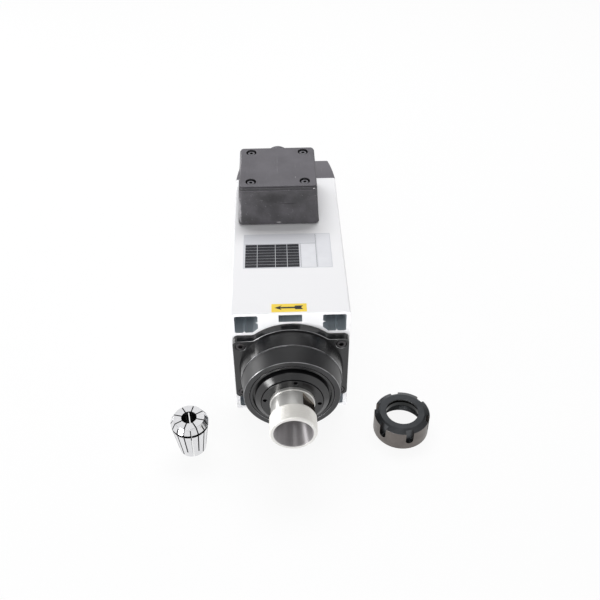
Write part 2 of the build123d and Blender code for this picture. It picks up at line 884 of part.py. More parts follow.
fan_cover = cover_shape(0, cover_rear)
fan_cover = fillet(fan_cover.faces().sort_by(Axis.Y)[-1].edges(), cover_rear_edge)
fan_cover -= cover_shape(cover_wall, cover_rear - cover_rear_wall)
cover_screws = []
for x, z in four(cover_post_x, cover_post_z):
    place = facing_rear(x, cover_rear - M4[2] - cover_screw_sunk, z)
    fan_cover += along(Pos(x, z) * Circle(cover_post_radius), flange_rear, cover_rear - cover_screw_sunk)
    fan_cover -= place * upward(Circle(M4[1] + counterbore_gap), 0, cover_length)
    fan_cover -= drilled(place, M4[0] + hole_gap, cover_length)
    cover_screws.append(place * cap_screw(M4, cover_screw_length))
fan_cover -= along(grille(), cover_rear - cover_rear_wall - 1, cover_rear + 1)
write("fan_cover", fan_cover)
write("fan_cover_screws", *cover_screws)


# Terminal box: base, gaskets, lid and screws

draft_angle = math.degrees(math.atan(box_draft / (box_height + lid_thickness)))


def box_block(z_start, z_end, inset=0.0):
    """The box's drafted outside between two heights, or its hollow when inset."""
    shrink = inset + (z_start - body_height) * math.tan(math.radians(draft_angle))
    width = box_width - 2 * shrink
    length = box_length - 2 * shrink
    outline = RectangleRounded(width, length, box_corner_radius - shrink / 2)
    return extrude(Pos(box_center_x, box_center_y, z_start) * outline, z_end - z_start, taper=draft_angle)


gland_wall = box_center_y + box_length / 2 + gland_pad
gland_place = facing_rear(gland_x, gland_wall, gland_height)
box_inside = box_center_y + box_length / 2 - box_draft - box_wall

base = box_block(box_bottom, box_top)
base -= box_block(box_screw_seat, box_top + 1, box_wall)
lid_well_outside = lid_well_radius + lid_well_wall
lid_seat = lid_top - lid_screw_sunk - M4[2]
well_bottom = lid_seat - lid_well_floor
base += [upward(Pos(x, y) * Circle(lid_well_outside), box_screw_seat, well_bottom) for x, y in lid_screws]
base &= box_block(box_bottom, box_top)
base += gland_place * upward(Circle(gland_pad_radius), box_inside - gland_wall, 0)
base -= gland_place * upward(Circle(gland_thread_radius + hole_gap), box_inside - gland_wall - 1, 1)
rim_out, rim_in = (box_wall - rim_gasket_width) / 2, (box_wall + rim_gasket_width) / 2
rim = box_block(box_top - rim_gasket_depth, box_top, rim_out) - box_block(
    box_top - rim_gasket_depth, box_top, rim_in
)
base -= rim
for x, y in lid_screws:
    base -= drilled(Pos(x, y, well_bottom), M4[0], lid_screw_length)
for x, y in box_screws + [earth_screw]:
    base -= drilled(Pos(x, y, box_screw_seat), M4[0] + hole_gap, box_floor)
base -= drilled(Pos(0, box_center_y, box_screw_seat), sleeve_radius + screw_gap, box_floor)
write("terminal_box_base", base)
write("lid_gasket", rim)

pad = box_block(body_height, box_bottom, box_gasket_inset)
for x, y in box_screws + [earth_screw]:
    pad -= drilled(Pos(x, y, box_bottom), M4[0] + hole_gap, box_gasket)
pad -= drilled(Pos(0, box_center_y, box_bottom), sleeve_radius + screw_gap, box_gasket)
write("terminal_box_gasket", pad)

lid = box_block(box_top, lid_top)
lid = fillet(lid.faces().sort_by(Axis.Z)[-1].edges(), lid_edge_radius)
lid -= box_block(box_top, lid_top - lid_skin, box_wall)
well_top = lid_top - lid_skin / 2
wells = [upward(Pos(x, y) * Circle(lid_well_outside), well_bottom, well_top) for x, y in lid_screws]
lid += [well & box_block(well_bottom, lid_top, box_wall + hole_gap) for well in wells]
box_lid_screws = []
for x, y in lid_screws:
    lid -= Pos(x, y, 0) * upward(Circle(lid_well_radius), lid_seat, lid_top)
    lid -= drilled(Pos(x, y, lid_seat), M4[0] + hole_gap, lid_well_floor)
    box_lid_screws.append(Pos(x, y, lid_seat) * cap_screw(M4, lid_screw_length))
write("terminal_box_lid", lid)
write("lid_screws", *box_lid_screws)
box_mounting = [Pos(x, y, box_screw_seat) * cap_screw(M4, box_screw_length) for x, y in box_screws]
write("box_mounting_screws", *box_mounting)
write("earth_screw", Pos(*earth_screw, box_screw_seat) * cap_screw(M4, box_screw_length))


# Terminal block: a bridge over the lead sleeve, with a clamp screw for each lead

block_place = Pos(0, box_center_y, 0)
block_top = terminal_bottom + terminal_height
block = upward(Rectangle(terminal_length, terminal_width), box_screw_seat, block_top)
gap = Rectangle(terminal_length - 2 * terminal_leg, terminal_width)
block -= upward(gap, box_screw_seat, terminal_bottom)
terminal_screws = []
for i in range(lead_count):
    place = Pos((i - (lead_count - 1) / 2) * terminal_pitch, 0, block_top)
    block -= drilled(place, M4[0], terminal_screw_reach + tapped_runout)
    terminal_screws.append(block_place * place * cap_screw(M4, terminal_screw_reach))
write("terminal_block", block_place * block)
write("terminal_screws", *terminal_screws)


# Cable gland: body through the wall, locknut inside, seal and dome nut outside

gland_inner_end = box_inside - gland_wall - gland_locknut
body = gland_place * upward(Circle(gland_thread_radius), gland_inner_end, gland_flange + gland_tail)
body += gland_place * upward(hexagon(gland_across_flats), 0, gland_flange)
body -= gland_place * upward(Circle(gland_bore), gland_inner_end, gland_flange + gland_tail)
write("cable_gland_body", body)
gland_locknut_ring = hexagon(gland_across_flats) - Circle(gland_thread_radius + screw_gap)
gland_locknut_end = gland_inner_end + gland_locknut
write("cable_gland_locknut", gland_place * upward(gland_locknut_ring, gland_inner_end, gland_locknut_end))
nut_start = gland_flange + gland_nut_gap
nut_end = nut_start + gland_nut_length
gland_nut = turned_up(
    (nut_start, gland_thread_radius + screw_gap),
    (nut_start, gland_nut_radius),
    (nut_end - gland_dome, gland_nut_radius),
    (nut_end, gland_nut_radius - gland_dome),
    (nut_end, gland_bore),
    (gland_flange + gland_tail + running_gap, gland_bore),
    (gland_flange + gland_tail + running_gap, gland_thread_radius + screw_gap),
)
write("cable_gland_nut", gland_place * gland_nut)
seal_end = gland_flange + gland_tail
seal = Circle(gland_bore - screw_gap) - Circle(gland_seal_bore)
write("cable_gland_seal", gland_place * upward(seal, seal_end - gland_seal_length, seal_end))


# Labels: the rating plate and the arrow that shows which way the nose turns

plate_y = box_center_y - box_length / 2 - plate_box_gap - plate_length / 2
plate = Pos(plate_center_x, plate_y) * RectangleRounded(plate_width, plate_length, plate_corner)
write("rating_plate", upward(plate, body_height, body_height + label_thickness))
arrow_y = front_face + arrow_front_at + arrow_length / 2
arrow = Pos(arrow_center_x, arrow_y) * Rectangle(arrow_width, arrow_length)
write("direction_label", upward(arrow, body_height, body_height + label_thickness))


# Collet: a double cone, sprung by slots cut in turn from the front and from the rear

head_bottom = collet_height - collet_head
groove_bottom = head_bottom - collet_groove
tail_rise = groove_bottom * math.tan(math.radians(taper_half_angle))
collet = turned_up(
    (0, collet_bore),
    (0, collet_tail_radius),
    (groove_bottom, collet_tail_radius + tail_rise),
    (groove_bottom, collet_groove_radius),
    (head_bottom, collet_groove_radius),
    (head_bottom, collet_radius),
    (collet_height - collet_cone, collet_radius),
    (collet_height, collet_front_radius),
    (collet_height, collet_bore),
)
for i in range(collet_slot_pairs):
    cut = Rectangle(3 * collet_radius, collet_slot)
    turn = i * 180 / collet_slot_pairs
    collet -= Rot(Z=turn) * upward(cut, collet_front_slot_end, collet_height)
    rear_cut = upward(cut, 0, collet_height - collet_rear_slot_web)
    collet -= Rot(Z=turn + 90 / collet_slot_pairs) * rear_cut
write("collet", Pos(collet_x, front_face - collet_ahead, 0) * Rot(Z=collet_turn) * collet)


# Collet nut with its loose extractor ring

ring_start = nut_thread_depth
ring_end = nut_thread_depth + nut_ring_height
nut_bore = thread_radius + spigot_gap
nut = turned_up(
    (0, nut_bore),
    (0, nut_radius),
    (nut_height - nut_cone_height, nut_radius),
    (nut_height, nut_radius - nut_cone_width),
    (nut_height, nut_opening),
    (ring_end, collet_radius + running_gap),
    (ring_end, nut_bore + nut_ring_groove),
    (ring_start, nut_bore + nut_ring_groove),
    (ring_start, nut_bore),
)
for i in range(nut_slot_count):
    low = nut_height - nut_slot_length + nut_slot_width / 2
    slot = Box(2 * nut_slot_depth, nut_slot_width, 2 * (nut_height - low))
    foot = Rot(Y=90) * Cylinder(nut_slot_width / 2, 2 * nut_slot_depth)
    turn = Rot(Z=nut_slot_turn + i * 360 / nut_slot_count)
    nut -= turn * Pos(nut_radius, 0, nut_height) * slot
    nut -= turn * Pos(nut_radius, 0, low) * foot
nut_place = Pos(nut_x, front_face - nut_ahead, 0)
write("collet_nut", nut_place * nut)
ring_outer = nut_bore + nut_ring_groove - nut_ring_gap
extractor = Circle(ring_outer) - Pos(nut_ring_offset, 0) * Circle(nut_ring_radius)
write("nut_extractor_ring", nut_place * upward(extractor, ring_start, ring_end))
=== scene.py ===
import math

import bmesh
import bpy
from mathutils import Euler, Matrix, Vector


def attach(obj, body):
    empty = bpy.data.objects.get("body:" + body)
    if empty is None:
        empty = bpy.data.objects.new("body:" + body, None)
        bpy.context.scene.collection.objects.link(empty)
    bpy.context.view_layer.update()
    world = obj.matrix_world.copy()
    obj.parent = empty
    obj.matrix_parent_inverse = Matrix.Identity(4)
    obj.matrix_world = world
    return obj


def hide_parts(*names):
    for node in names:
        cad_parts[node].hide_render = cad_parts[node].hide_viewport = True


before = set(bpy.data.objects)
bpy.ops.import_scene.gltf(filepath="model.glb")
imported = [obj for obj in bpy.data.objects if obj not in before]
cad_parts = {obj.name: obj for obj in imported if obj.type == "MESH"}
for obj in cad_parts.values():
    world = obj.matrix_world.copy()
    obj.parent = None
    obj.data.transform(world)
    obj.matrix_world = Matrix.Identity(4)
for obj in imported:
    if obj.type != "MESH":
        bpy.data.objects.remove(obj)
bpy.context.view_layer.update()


# The set: white paper under the part, a pale room round it and five soft lamps, seen from in
# front and above. Metal and gloss see a white horizon and a dark ceiling, as in a studio.

def linear(code):
    """An sRGB hex colour as the linear values that a shader takes."""
    parts = [int(code[i:i + 2], 16) / 255 for i in (1, 3, 5)]
    return (*[p / 12.92 if p <= 0.04045 else ((p + 0.055) / 1.055) ** 2.4 for p in parts], 1.0)


def add(tree, kind, links=None, **settings):
    """Adds one node, sets its properties, and fills its inputs with values or with links."""
    node = tree.nodes.new(kind)
    for name, value in settings.items():
        setattr(node, name, value)
    for key, value in (links or {}).items():
        if isinstance(value, bpy.types.NodeSocket):
            tree.links.new(value, node.inputs[key])
        else:
            node.inputs[key].default_value = value
    return node


def rectangle(left, front, right, back):
    """The corners of a rectangle, counterclockwise."""
    return [(left, front), (right, front), (right, back), (left, back)]


camera_place = Vector((-0.0064, -0.5999, 0.5771))
camera_yaw = math.radians(1.69)
camera_pitch = math.radians(41.69)
camera_roll = math.radians(-0.3)
ahead = Vector((math.sin(camera_yaw) * math.cos(camera_pitch),
                math.cos(camera_yaw) * math.cos(camera_pitch), -math.sin(camera_pitch)))
level = Vector((math.cos(camera_yaw), -math.sin(camera_yaw), 0))
upright = level.cross(ahead)
right = math.cos(camera_roll) * level + math.sin(camera_roll) * upright
top = math.cos(camera_roll) * upright - math.sin(camera_roll) * level
camera = bpy.data.objects.new("camera", bpy.data.cameras.new("camera"))
camera.data.lens = 47.82
camera.data.sensor_width = 36
camera.data.sensor_fit = "HORIZONTAL"
camera.data.clip_start = 0.01
camera.matrix_world = Matrix.Translation(camera_place) @ Matrix((right, top, -ahead)).transposed().to_4x4()
bpy.context.scene.collection.objects.link(camera)
bpy.context.scene.camera = camera
bpy.context.scene.view_settings.view_transform = "Standard"

ambient = 0.31
world = bpy.data.worlds.new("white studio")
world.use_nodes = True
bpy.context.scene.world = world
tree = world.node_tree
rays = add(tree, "ShaderNodeLightPath").outputs
direction = add(tree, "ShaderNodeTexCoord").outputs["Generated"]
height = add(tree, "ShaderNodeSeparateXYZ", {0: direction}).outputs["Z"]
room = add(tree, "ShaderNodeMapRange", {
    "Value": height, "From Min": 0.10, "From Max": 0.60, "To Min": 1.0, "To Max": 0.42,
}, interpolation_type="SMOOTHSTEP").outputs[0]
bright_window = ((0.0, 0.62, 0.78), 0.93, 0.99, 0.65)
dark_screen = ((0.66, 0.70, 0.27), 0.80, 0.95, -0.45)
for side, narrow, wide, gain in (bright_window, dark_screen):
    links = {0: direction, 1: side}
    toward = add(tree, "ShaderNodeVectorMath", links, operation="DOT_PRODUCT").outputs["Value"]
    links = {"Value": toward, "From Min": narrow, "From Max": wide, "To Max": gain}
    patch = add(tree, "ShaderNodeMapRange", links, interpolation_type="SMOOTHSTEP").outputs[0]
    room = add(tree, "ShaderNodeMath", {0: room, 1: patch}, operation="ADD").outputs[0]
soft = add(tree, "ShaderNodeMix", {0: rays["Is Glossy Ray"], 2: ambient, 3: room}).outputs[0]
links = {0: rays["Is Camera Ray"], 1: rays["Is Transmission Ray"]}
clear = add(tree, "ShaderNodeMath", links, operation="MAXIMUM")
strength = add(tree, "ShaderNodeMix", {0: clear.outputs[0], 2: soft, 3: 1.0}).outputs[0]
tree.links.new(strength, tree.nodes["Background"].inputs["Strength"])
tree.nodes["Background"].inputs["Color"].default_value = (1, 1, 1, 1)

lamps = (
    ("top softbox", (0.0, 0.62, 1.30), (1.30, 0.60), 14.4, False),
    ("left strip", (-1.05, 0.68, 0.19), (0.45, 0.28), 3.0, True),
    ("left window", (-1.00, -1.05, 0.17), (0.50, 0.30), 8.0, True),
    ("camera softbox", (-0.20, -0.95, 1.25), (0.40, 0.25), 2.0, True),
    ("front fill", (0.0, -1.80, 0.22), (1.60, 0.30), 13.5, False),
)
for name, place, size, watts, mirrored in lamps:
    lamp = bpy.data.objects.new(name, bpy.data.lights.new(name, "AREA"))
    lamp.data.shape = "RECTANGLE"
    lamp.data.size, lamp.data.size_y = size
    lamp.data.energy = watts
    lamp.visible_glossy = mirrored
    lamp.location = place
    lamp.rotation_euler = (Vector((0, 0, 0.06)) - Vector(place)).to_track_quat("-Z", "Y").to_euler()
    bpy.context.scene.collection.objects.link(lamp)

paper = bpy.data.materials.new("white paper")
paper.use_nodes = True
tree = paper.node_tree
tree.nodes.remove(tree.nodes["Principled BSDF"])
rays = add(tree, "ShaderNodeLightPath").outputs
seen = add(tree, "ShaderNodeMath", {0: rays["Is Camera Ray"], 1: rays["Is Glossy Ray"]}, operation="MAXIMUM")
seen = add(tree, "ShaderNodeMath", {0: seen.outputs[0], 1: rays["Is Transmission Ray"]}, operation="MAXIMUM")
share = add(tree, "ShaderNodeMath", {0: seen.outputs[0], 1: 0.90}, operation="MULTIPLY")
matt = add(tree, "ShaderNodeBsdfDiffuse", {"Color": linear("#F6F6F7")})
glow = add(tree, "ShaderNodeEmission", {"Color": (1, 1, 1, 1), "Strength": 1.0})
both = add(tree, "ShaderNodeMixShader", {0: share.outputs[0], 1: matt.outputs[0], 2: glow.outputs[0]})
tree.links.new(both.outputs[0], tree.nodes["Material Output"].inputs["Surface"])
floor_mesh = bpy.data.meshes.new("paper")
floor_reach = 3.0
floor_height = -0.0004
edges = rectangle(-floor_reach, -floor_reach, floor_reach, floor_reach)
floor_mesh.from_pydata([(x, y, floor_height) for x, y in edges], [], [(0, 1, 2, 3)])
floor_mesh.materials.append(paper)
floor = bpy.data.objects.new("paper", floor_mesh)
bpy.context.scene.collection.objects.link(floor)


# Body extrusion: aluminium pushed through a die, cut to length and bored for the stator, then
# powder coated white outside. The coat stops at the mouths of the six air channels.

def surface(name, **values):
    """A new material: its tree, its shader with these uniform values, and object coordinates."""
    material = bpy.data.materials.new(name)
    material.use_nodes = True
    tree = material.node_tree
    shader = tree.nodes["Principled BSDF"]
    for socket, value in values.items():
        shader.inputs[socket.replace("_", " ")].default_value = value
    return material, tree, shader, add(tree, "ShaderNodeTexCoord").outputs["Object"]


def coloured(tree, shader, pattern, dark, light, strength=0.0, depth=0.0):
    """A pattern carried into the shader: as colour between two hex codes and, if it has one, as relief."""
    tint = add(tree, "ShaderNodeMix", {0: pattern, 6: linear(dark), 7: linear(light)}, data_type="RGBA")
    tree.links.new(tint.outputs[2], shader.inputs["Base Color"])
    if strength:
        bump = add(tree, "ShaderNodeBump", {"Height": pattern, "Strength": strength, "Distance": depth})
        tree.links.new(bump.outputs[0], shader.inputs["Normal"])


def mottled(tree, shader, place, scale, detail, *finish):
    """A finish whose colour, and relief if it has one, follow soft patches 1000 / scale mm across."""
    patches = add(tree, "ShaderNodeTexNoise", {"Vector": place, "Scale": scale, "Detail": detail}).outputs[0]
    coloured(tree, shader, patches, *finish)


def settled(work):
    """The plain mesh that a work object's modifiers or curve give; the work object goes."""
    bpy.context.scene.collection.objects.link(work)
    bpy.context.view_layer.update()
    graph = bpy.context.evaluated_depsgraph_get()
    mesh = bpy.data.meshes.new_from_object(work.evaluated_get(graph), depsgraph=graph)
    bpy.data.objects.remove(work)
    return mesh


def cleaned(mesh):
    """Doubles merged, slivers dissolved and every face turned outwards."""
    shape = bmesh.new()
    shape.from_mesh(mesh)
    bmesh.ops.remove_doubles(shape, verts=shape.verts, dist=0.0008)
    bmesh.ops.dissolve_degenerate(shape, edges=shape.edges, dist=0.0004)
    bmesh.ops.recalc_face_normals(shape, faces=shape.faces)
    shape.to_mesh(mesh)
    shape.free()
    return mesh


def arc(center, radius, start, end, steps):
    """Points on an arc between two angles in degrees."""
    turns = [math.radians(start + (end - start) * i / steps) for i in range(steps + 1)]
    return [(center[0] + radius * math.cos(t), center[1] + radius * math.sin(t)) for t in turns]


def rounded(points, radius=0.0, steps=5):
    """A closed outline with its corners turned into arcs; a point may carry a radius of its own."""
    outline = []
    for i, point in enumerate(points):
        here = Vector(point[:2])
        corner = point[2] if len(point) > 2 else radius
        back = Vector(points[i - 1][:2]) - here
        on = Vector(points[(i + 1) % len(points)][:2]) - here
        half = back.angle(on) / 2
        if corner <= 0 or half > math.radians(88):
            outline.append(tuple(here))
            continue
        reach = min(corner / math.tan(half), 0.48 * back.length, 0.48 * on.length)
        corner = reach * math.tan(half)
        center = here + (back.normalized() + on.normalized()).normalized() * corner / math.sin(half)
        first = here + back.normalized() * reach - center
        last = here + on.normalized() * reach - center
        start = math.degrees(math.atan2(first.y, first.x))
        sweep = (math.degrees(math.atan2(last.y, last.x)) - start + 180) % 360 - 180
        outline += arc(center, corner, start, start + sweep, steps)
    return outline


def extruded(loops, low, high, edge=0.0, steps=2):
    """Flat outlines, the inner ones as holes, made solid upwards from low to high with soft edges."""
    curve = bpy.data.curves.new("outline", "CURVE")
    curve.dimensions = "2D"
    curve.fill_mode = "BOTH"
    curve.extrude = (high - low) / 2 - edge
    curve.bevel_depth = edge
    curve.bevel_resolution = steps
    curve.offset = -edge
    for loop in loops:
        spline = curve.splines.new("POLY")
        spline.points.add(len(loop) - 1)
        for point, (x, y) in zip(spline.points, loop):
            point.co = (x, y, 0, 1)
        spline.use_cyclic_u = True
    mesh = settled(bpy.data.objects.new("work", curve))
    mesh.transform(Matrix.Translation((0, 0, (low + high) / 2)))
    return cleaned(mesh)


def along(loops, front, rear, edge=0.0, steps=2):
    """Outlines drawn in X and Z, made solid along Y from front to rear."""
    mesh = extruded(loops, -rear, -front, edge, steps)
    mesh.transform(Matrix.Rotation(math.radians(90), 4, "X"))
    return mesh


def skinned(loops, round_again):
    """A skin through loops of as many points each: on to the first again, or closed by flat ends."""
    count = len(loops[0])
    total = len(loops) * count
    faces = [] if round_again else [tuple(range(count)), tuple(range(total - count, total))]
    for here in range(0, total if round_again else total - count, count):
        after = (here + count) % total
        for j in range(count):
            beside = (j + 1) % count
            faces.append((here + j, here + beside, after + beside, after + j))
    mesh = bpy.data.meshes.new("skin")
    mesh.from_pydata([point for loop in loops for point in loop], [], faces)
    return cleaned(mesh)


def turned(profile, segments):
    """A closed outline of (height, radius) points turned about Z."""
    turns = [math.tau * i / segments for i in range(segments)]
    return skinned([[(r * math.cos(t), r * math.sin(t), z) for z, r in profile] for t in turns], True)


def cylinder(low, high, radius):
    """The outline of a plain cylinder, to be turned."""
    return [(low, 0), (low, radius), (high, radius), (high, 0)]


def facing(mesh, x, y, z, tilt=0.0):
    """A mesh drawn upright, tilted about X by this many degrees and moved to its place."""
    turn = Euler((math.radians(tilt), 0, 0)).to_matrix().to_4x4()
    mesh.transform(Matrix.Translation((x, y, z)) @ turn)
    return mesh


def pegs(profile, segments, places, tilt=0.0):
    """One turned outline made again for each place and stood there."""
    return [facing(turned(profile, segments), *place, tilt) for place in places]


def combined(mesh, other, operation="DIFFERENCE"):
    """One closed mesh cut from, or joined to, another."""
    first = bpy.data.objects.new("work", mesh)
    second = bpy.data.objects.new("tool", other)
    bpy.context.scene.collection.objects.link(second)
    tool = first.modifiers.new("tool", "BOOLEAN")
    tool.operation = operation
    tool.solver = "EXACT"
    tool.object = second
    result = settled(first)
    bpy.data.objects.remove(second)
    return result


def gathered(meshes):
    """Several meshes as one, left as they are."""
    shape = bmesh.new()
    for mesh in meshes:
        shape.from_mesh(mesh)
    whole = bpy.data.meshes.new("gathered")
    shape.to_mesh(whole)
    shape.free()
    return whole


def piece(name, mesh, materials, body, nodes, finish_of=None, smooth=32):
    """The finished mesh, from millimetres to metres, dressed, hung on its body and standing in for the CAD
    nodes it hides.
    """
    cleaned(mesh)
    mesh.transform(Matrix.Scale(0.001, 4))
    mesh.materials.clear()
    for material in materials:
        mesh.materials.append(material)
    for face in mesh.polygons:
        face.material_index = finish_of(face.center * 1000, face.normal) if finish_of else 0
    mesh.shade_smooth()
    mesh.set_sharp_from_angle(angle=math.radians(smooth))
    work = bpy.data.objects.new(name + "_work", mesh)
    even = work.modifiers.new("even", "WEIGHTED_NORMAL")
    even.keep_sharp = True
    mesh = settled(work)
    mesh.name = name
    made = bpy.data.objects.new(name, mesh)
    bpy.context.scene.collection.objects.link(made)
    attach(made, body)
    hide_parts(*nodes)


body_half_width = 51.5
body_height = 120.0
axis_height = 60.0
front_face = -103.2
rear_face = 103.2
stator_bore = 46.0
body_corner = 2.0
channel_wall = 48.0
channel_inner = 28.0
channel_roof = 117.0
channel_floor = 98.0
channel_chamfer = 4.6
rib = 2.0
side_rib = 109.2
lower_rib = 40.0
slot_half = 10.0
slot_roof = 117.5
slot_floor = 109.7

channel = rounded([
    (channel_wall, channel_floor, 1.5),
    (channel_wall, channel_roof, 1.5),
    (channel_inner, channel_roof, 1.5),
    (channel_inner, side_rib + rib / 2),
    (channel_inner + rib, side_rib),
    (channel_inner, side_rib - rib / 2),
    (channel_inner, channel_floor + channel_chamfer),
    (channel_inner + channel_chamfer, channel_floor),
    (lower_rib - rib / 2, channel_floor),
    (lower_rib, channel_floor + rib),
    (lower_rib + rib / 2, channel_floor),
])
flat_slot = rectangle(-slot_half, slot_floor, slot_half, slot_roof)
upper = [channel, [(-x, z) for x, z in channel], flat_slot]
lower = [[(x, body_height - z) for x, z in loop] for loop in upper]
outside = rounded(rectangle(-body_half_width, 0, body_half_width, body_height), body_corner)
bore = arc((0, axis_height), stator_bore, 0, 357.1875, 127)
shell = along([outside, bore] + upper + lower, front_face, rear_face, 0.35)

# Tapped holes: four in each end, four for brackets underneath, five and a lead hole on top
ear_x = 43.7
ear_z = 29.0
box_center = (-8.0, 59.8)
lead_hole = 7.45
corners = [(side, end) for side in (-1, 1) for end in (-1, 1)]
ears = [(side * ear_x, end * ear_z + axis_height) for side, end in corners]
brackets = [(side * 19.0, end * 65.0) for side, end in corners]
box_screws = [(side * 19.0, box_center[1] + end * 13) for side, end in corners]
earth_place = (-16.0, box_center[1] + 24)
end_hole = [(-1, 0), (-1, 2.5), (19, 2.5), (20.4, 0)]
bracket_hole = [(-1, 0), (-1, 3.9), (0, 3.9), (0.5, 3.4), (12.6, 3.4), (13.9, 0)]
box_hole = [(-10, 0), (-9, 2.0), (1, 2.0), (1, 0)]
holes = []
for ear, bracket, box_screw in zip(ears, brackets, box_screws):
    holes += pegs(end_hole, 24, [(ear[0], front_face, ear[1])], -90)
    holes += pegs(end_hole, 24, [(ear[0], rear_face, ear[1])], 90)
    holes += pegs(bracket_hole, 32, [(*bracket, 0)])
    holes += pegs(box_hole, 24, [(*box_screw, body_height)])
holes += pegs(box_hole, 24, [(*earth_place, body_height)])
holes += pegs(cylinder(-20, 1, lead_hole), 48, [(0, box_center[1], body_height)])
shell = combined(shell, gathered(holes))

coat, tree, shader, place = surface("white powder coat", Roughness=0.42, IOR=1.5)
# Baked polyester powder: near white, satin, with an orange peel of about a millimetre
mottled(tree, shader, place, 14.0, 3.0, "#F1F1F3", "#F4F4F6")
peel = add(tree, "ShaderNodeTexNoise", {"Vector": place, "Scale": 900.0, "Detail": 1.0}).outputs[0]
bump = add(tree, "ShaderNodeBump", {"Height": peel, "Strength": 0.25, "Distance": 0.00004})
tree.links.new(bump.outputs[0], shader.inputs["Normal"])

bare, tree, shader, place = surface("bare extruded aluminium", Metallic=0.55, Roughness=0.5)
# As it left the die: dull blue-grey, with die lines a few tenths of a millimetre apart along Y
stretched = add(tree, "ShaderNodeMapping", {"Vector": place, "Scale": (1.0, 0.02, 1.0)}).outputs[0]
lines = add(tree, "ShaderNodeTexNoise", {"Vector": stretched, "Scale": 1600.0, "Detail": 3.0}).outputs[0]
coloured(tree, shader, lines, "#B3BBC1", "#D8DFE4", 0.4, 0.00005)


def coated_outside(center, normal):
    """The coat on the outside and the end faces, bare metal in the channels, bore and holes."""
    inside = abs(center.x) < body_half_width - 1 and 1 < center.z < body_height - 1
    at_end = abs(center.y) > rear_face - 0.3
    hole = abs(normal.y) < 0.5 and abs(center.y) < rear_face - 0.4
    return 1 if inside and hole and not at_end else 0


piece("body_extrusion", shell, [coat, bare], "motor_body",
      ["housing_extrusion"], coated_outside)


# Stator: electrical steel punched into sheets half a millimetre thick and pressed into the bore,
# with enamelled copper wound through its slots. Three leads rise through a rubber sleeve.

def dressed(material, *nodes):
    """A finish on CAD nodes whose shape is right as it is."""
    for node in nodes:
        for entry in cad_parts[node].material_slots:
            entry.material = material


sheets, tree, shader, place = surface("punched electrical steel", Metallic=1.0, Roughness=0.55)
# Blue-grey steel whose sheet edges show as lines, drawn 2 mm apart so that they can be seen
links = {"Vector": place, "Scale": 160.0, "Distortion": 0.3}
edges = add(tree, "ShaderNodeTexWave", links, bands_direction="Y").outputs[1]
coloured(tree, shader, edges, "#4E5054", "#8D9094", 0.5, 0.0001)
dressed(sheets, "stator_core", "rotor_core")

copper, tree, shader, place = surface("enamelled copper wire", Metallic=1.0, Roughness=0.3)
# Round wire of about 0.8 mm under amber varnish, lying side by side round the bore
links = {"Vector": place, "Scale": 400.0, "Distortion": 2.0, "Detail": 1.0}
wires = add(tree, "ShaderNodeTexWave", links, wave_type="RINGS", rings_direction="Y").outputs[1]
coloured(tree, shader, wires, "#7A3414", "#C9783E", 0.8, 0.0003)
dressed(copper, "stator_windings")

silicone, tree, shader, place = surface("red silicone insulation", Roughness=0.55, IOR=1.43)
# Soft extruded sleeve, slightly mottled
mottled(tree, shader, place, 500.0, 2.0, "#8F1A14", "#AE2A20")
dressed(silicone, "stator_leads")

rubber, tree, shader, place = surface("black nitrile rubber", Roughness=0.7, IOR=1.52)
# Moulded rubber: a matt black with a dusty bloom
mottled(tree, shader, place, 160.0, 4.0, "#17171A", "#2C2C2F")
dressed(rubber, "lead_sleeve", "lid_gasket", "terminal_box_gasket", "cable_gland_seal")


# Front end cap: aluminium turned and milled, then coated a semi-gloss black. A flange with four
# ears bolts to the body, and a stepped boss on it holds the bearing pair.

def turning_marks(tree, place, center, size, upright=False):
    """Height of the fine rings that a lathe leaves, size mm apart, about Y or about Z."""
    local = add(tree, "ShaderNodeVectorMath", {0: place, 1: center}, operation="SUBTRACT").outputs[0]
    parts = add(tree, "ShaderNodeSeparateXYZ", {0: local}).outputs
    lengthwise, across = ("Z", "Y") if upright else ("Y", "Z")
    radial = add(tree, "ShaderNodeCombineXYZ", {0: parts["X"], 1: parts[across]}).outputs[0]
    radius = add(tree, "ShaderNodeVectorMath", {0: radial}, operation="LENGTH").outputs["Value"]
    travel = add(tree, "ShaderNodeMath", {0: radius, 1: parts[lengthwise]}, operation="ADD").outputs[0]
    return add(tree, "ShaderNodeTexNoise", {"W": travel, "Scale": 1000 / size, "Detail": 2.0},
               noise_dimensions="1D").outputs[0]


spindle_axis = (0, 0, axis_height / 1000)
black, tree, shader, place = surface(
    "semi-gloss black coated aluminium", Roughness=0.3, IOR=1.6, Anisotropic=0.8, Anisotropic_Rotation=0.25)
# A thin hard coat over turned metal: nearly black, with the lathe's rings just showing in its gloss
marks = turning_marks(tree, place, spindle_axis, 0.8)
tangent = add(tree, "ShaderNodeTangent", direction_type="RADIAL", axis="Y").outputs[0]
tree.links.new(tangent, shader.inputs["Tangent"])
dust = add(tree, "ShaderNodeTexNoise", {"Vector": place, "Scale": 90.0, "Detail": 4.0}).outputs[0]
coloured(tree, shader, dust, "#0B0B0D", "#141416")
rough = add(tree, "ShaderNodeMapRange", {"Value": dust, "To Min": 0.18, "To Max": 0.30}).outputs[0]
tree.links.new(rough, shader.inputs["Roughness"])
bump = add(tree, "ShaderNodeBump", {"Height": marks, "Strength": 0.18, "Distance": 0.00006})
tree.links.new(bump.outputs[0], shader.inputs["Normal"])

satin, tree, shader, place = surface("satin black coated aluminium", Roughness=0.46, IOR=1.6)
# The same coat over a blasted face, so that it shines evenly
mottled(tree, shader, place, 90.0, 4.0, "#131315", "#1D1D1F")

flange_front = -111.2
boss_front = -143.5
boss_step = -125.6
bearing_front = -137.2
spigot_rear = -95.2
ear_half_width = 50.6
ear_half_height = 35.3
flange_radius = 48.0
ear_corner = 4.5
blend = 6.0


def about_axis(profile):
    """A closed outline of (Y, radius) points turned about the spindle axis."""
    return facing(turned(profile, 128), 0, 0, axis_height, -90)


